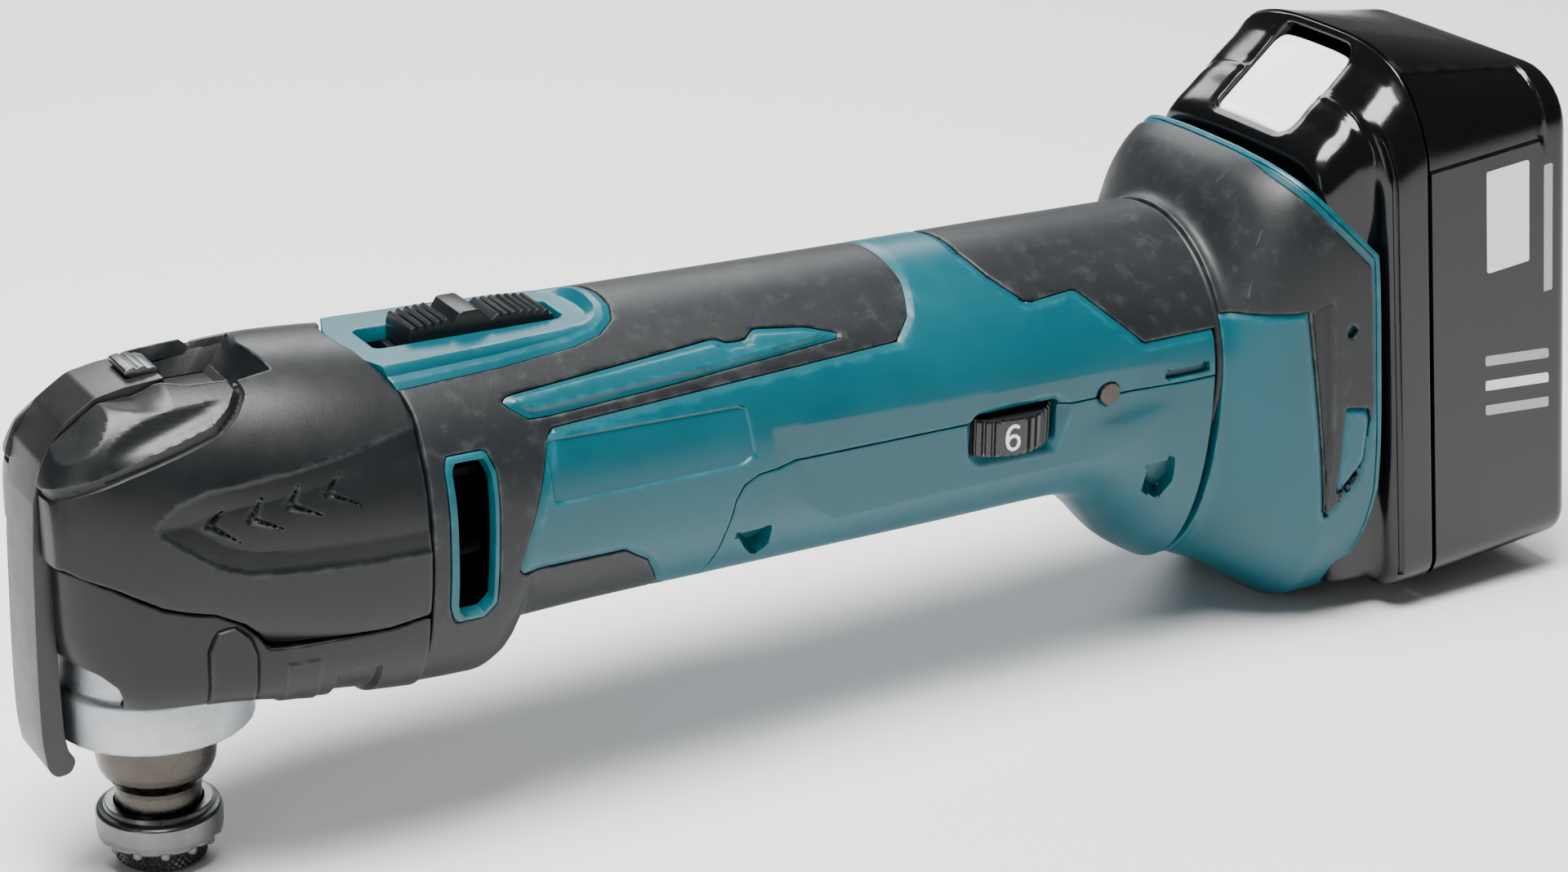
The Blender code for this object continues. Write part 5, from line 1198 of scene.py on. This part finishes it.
def bat_top(pts, r=0.0):
    core = shrink(pts, r) if r else pts

    def f(P):
        l, d = bat_coords(P)
        q = poly_dist(core, d, P[:, 1]) + r
        return np.minimum(q, 25.0 - l)
    return f


# ledge that runs along the top near each side
f_ledge = lambda P: np.minimum(np.abs(P[:, 1]) - 27.5, np.minimum(14.0 - bat_coords(P)[0], bat_coords(P)[1] - 7.0))
uc = np.concatenate([np.arange(0, 18, 1.5), np.arange(18, 60, 2.0), np.arange(60, 192.1, 5.0)])
nvc = CS.nv
vc = np.linspace(0, nvc, nvc // 2 + 1)
case = shell("battery_case_shell", CS, M["gloss"], uc, vc, keep=[lambda P: 38.95 - bat_coords(P)[1]], feats=[(f_ledge, [(-0.3, 0.0), (0.4, -0.6)])], lip=0.5, wall=2.2)
put(case, "battery", "gloss_black", "battery_case")

cov = [
    (0.0, 39.25, 36.75, 1.3, 113.0, 12.0, 7.5, 12.6, 3.2),
    (1.6, 40.6, 36.75, 1.6, 113.0, 12.0, 7.5, 11.0, 3.0),
    (3.4, 42.4, 36.7, 2.0, 113.0, 12.0, 7.5, 9.0, 3.0),
    (8.0, 47.0, 36.5, 4.2, 112.8, 12.0, 7.5, 7.4, 3.2),
    (9.6, 48.6, 36.0, 5.0, 112.6, 12.0, 7.5, 6.9, 3.4),
    (11.0, 49.6, 34.6, 5.2, 112.3, 12.0, 7.4, 6.6, 3.4),
    (12.6, 50.4, 32.4, 4.6, 111.8, 9.0, 7.0, 5.8, 3.8),
    (14.4, 51.8, 31.2, 4.2, 111.3, 8.0, 6.5, 4.3, 4.0),
    (19.0, 56.0, 30.6, 6.3, 110.9, 7.0, 6.0, 3.4, 4.0),
    (24.0, 61.0, 30.2, 9.2, 110.0, 7.0, 6.0, 2.6, 4.0),
    (25.2, 62.1, 29.6, 10.2, 109.2, 6.4, 5.4, 2.2, 4.0),
    (26.2, 62.6, 28.4, 11.6, 108.0, 5.6, 4.6, 1.8, 4.0),
    (30.0, 62.6, 20.0, 22.0, 98.0, 5.0, 5.0, 0.5, 4.0),
    (34.0, 62.6, 0.02, 59.98, 60.02, 0.01, 0.01, 0.0, 4.0)]
VS = bat_surf(cov, 138)
BUT = [(40.6, -12.9), (40.6, 12.9), (59.6, 12.9), (59.6, -12.9)]
f_but = bat_top(BUT, 2.6)
f_colgroove = lambda P: np.minimum(0.75 - np.abs(bat_coords(P)[1] - 47.8), np.minimum(np.abs(P[:, 1]) - 28.5, np.minimum(bat_coords(P)[0] - 5.0, 108.0 - bat_coords(P)[0])))
vv = np.linspace(0, VS.nv, VS.nv // 2 + 1)
cover = shell("battery_cover_shell", VS, M["gloss"], np.concatenate([np.arange(0, 112, 2.0), np.arange(112, 136, 4.0), [137.0]]), vv,
              keep=[lambda P: bat_coords(P)[1] - 39.3, lambda P: -(f_but(P) + 0.3)],
              feats=[(f_but, [(-2.2, 0.0), (-0.9, -0.35)]), (f_colgroove, [(0.0, 0.0), (0.55, -0.8)])], lip=0.5, wall=2.2)
put(cover, "battery", "gloss_black", "battery_cover")

# release button: slab following the slanted face
nb_u, nb_v = 80, 100
dd = np.linspace(39.5, 60.8, nb_u)
yy = np.linspace(-14.2, 14.2, nb_v)
Dg, Yg = np.meshgrid(dd, yy, indexing='ij')
Lg = -7.8 + 0.70 * (Dg - 40.0) + 0.25 + 1.1 * (np.abs(Yg) / 14.0) ** 3
BSf = Surf(Bt(Lg, Dg, Yg), False, hint=(-SB, 0, CB))
f_b1 = lambda P: poly_dist(shrink(BUT, 2.6), bat_coords(P)[1], P[:, 1]) + 2.6
button = shell("release_button", BSf, M["white"], np.arange(0, nb_u - 0.9, 2.0), np.arange(0, nb_v - 0.9, 2.0), keep=[f_b1],
               feats=[(f_b1, [(1.4, 0.0), (2.6, -0.18)])], lip=0.7, wall=5.0)
put(button, "button", "white_plastic", "battery_button")

# generic printed marks on the near side of the case
MARKS = [([(11.6, 17.6), (23.4, 17.6), (23.4, 41.4), (11.6, 41.4)], "ink_white", "mark_box"),
         ([(5.0, 20.0), (7.4, 20.0), (7.4, 50.0), (5.0, 50.0)], "ink_grey", "mark_bar"),
         ([(6.0, 64.0), (24.0, 61.0), (24.0, 63.4), (6.0, 66.4)], "ink_grey", "mark_stripe_1"),
         ([(6.0, 70.0), (24.0, 67.0), (24.0, 69.4), (6.0, 72.4)], "ink_white", "mark_stripe_2"),
         ([(6.0, 76.0), (24.0, 73.0), (24.0, 75.4), (6.0, 78.4)], "ink_grey", "mark_stripe_3")]
for pts, mat, nm in MARKS:
    o = shell(nm, CS, M[mat], np.arange(34, 140, 1.5), np.arange(88.0, 158.1, 0.5), keep=[bat_side(pts, 0.2)], lip=0.0, wall=0.25, push=0.04)
    put(o, "battery", "white_plastic")

# ------------------------------------------------------------------ camera
C = np.array([-204.261, -604.848, 334.706])
th, ph, ro = math.radians(29.6949), math.radians(21.3606), math.radians(0.7306)
dv = Vector((math.sin(th) * math.cos(ph), math.cos(th) * math.cos(ph), -math.sin(ph)))
rv = Vector((math.cos(th), -math.sin(th), 0))
uvv = rv.cross(dv)
Rv = rv * math.cos(ro) + uvv * math.sin(ro)
Uv = -rv * math.sin(ro) + uvv * math.cos(ro)
cam_data = bpy.data.cameras.new("camera")
cam_data.sensor_width = 36.0
cam_data.lens = 81.757
cam_data.clip_start = 0.01
cam_ob = bpy.data.objects.new("camera", cam_data)
bpy.context.scene.collection.objects.link(cam_ob)
mw = Matrix.Identity(4)
for k, col in enumerate((Rv, Uv, -dv)):
    for j in range(3):
        mw[j][k] = col[j]
cw = W(C)
for j in range(3):
    mw[j][3] = float(cw[j])
cam_ob.matrix_world = mw
bpy.context.scene.camera = cam_ob

# ------------------------------------------------------------------ floor and light
bm = bmesh.new()
bmesh.ops.create_grid(bm, x_segments=8, y_segments=8, size=6.0)
me = bpy.data.meshes.new("floor")
bm.to_mesh(me)
bm.free()
floor = bpy.data.objects.new("floor", me)
bpy.context.scene.collection.objects.link(floor)
tilt = math.atan2(6.4 + 0.8, 262.0)
floor.rotation_euler = (0, -tilt, 0)
floor.location = (-0.15144, 0, -0.0004)
fm, fnt, fbs = nodes_of("floor_pale")
fv = tex_coords(fnt)
fbase = mix_col(fnt, noise(fnt, fv, 1.5), (0.80, 0.80, 0.80), (0.84, 0.84, 0.84))
fnt.links.new(fbase, fbs.inputs["Base Color"])
fbs.inputs["Roughness"].default_value = 0.9
me.materials.append(fm)

world = bpy.data.worlds.new("studio")
bpy.context.scene.world = world
world.use_nodes = True
bg = world.node_tree.nodes["Background"]
bg.inputs["Color"].default_value = (0.93, 0.96, 1.0, 1)
bg.inputs["Strength"].default_value = 0.10


def area(name, loc, target, size, power, col=(1, 1, 1), size_y=None):
    L = bpy.data.lights.new(name, 'AREA')
    L.energy = power
    L.color = col
    L.shape = 'RECTANGLE'
    L.size = size
    L.size_y = size_y or size
    o = bpy.data.objects.new(name, L)
    bpy.context.scene.collection.objects.link(o)
    o.location = loc
    q = (Vector(target) - Vector(loc)).to_track_quat('-Z', 'Y')
    o.rotation_euler = q.to_euler()
    return o


area("key_top", (-0.25, -0.15, 1.3), (0, 0, 0.07), 0.7, 56, (1, 0.99, 0.97), 0.7)
area("back_top", (0.3, 1.1, 0.9), (0, 0, 0.07), 0.9, 12, (0.97, 0.99, 1.0), 0.5)
area("front_left", (-1.2, -0.7, 0.45), (-0.1, 0, 0.06), 0.35, 2.6, (1, 1, 1), 0.9)
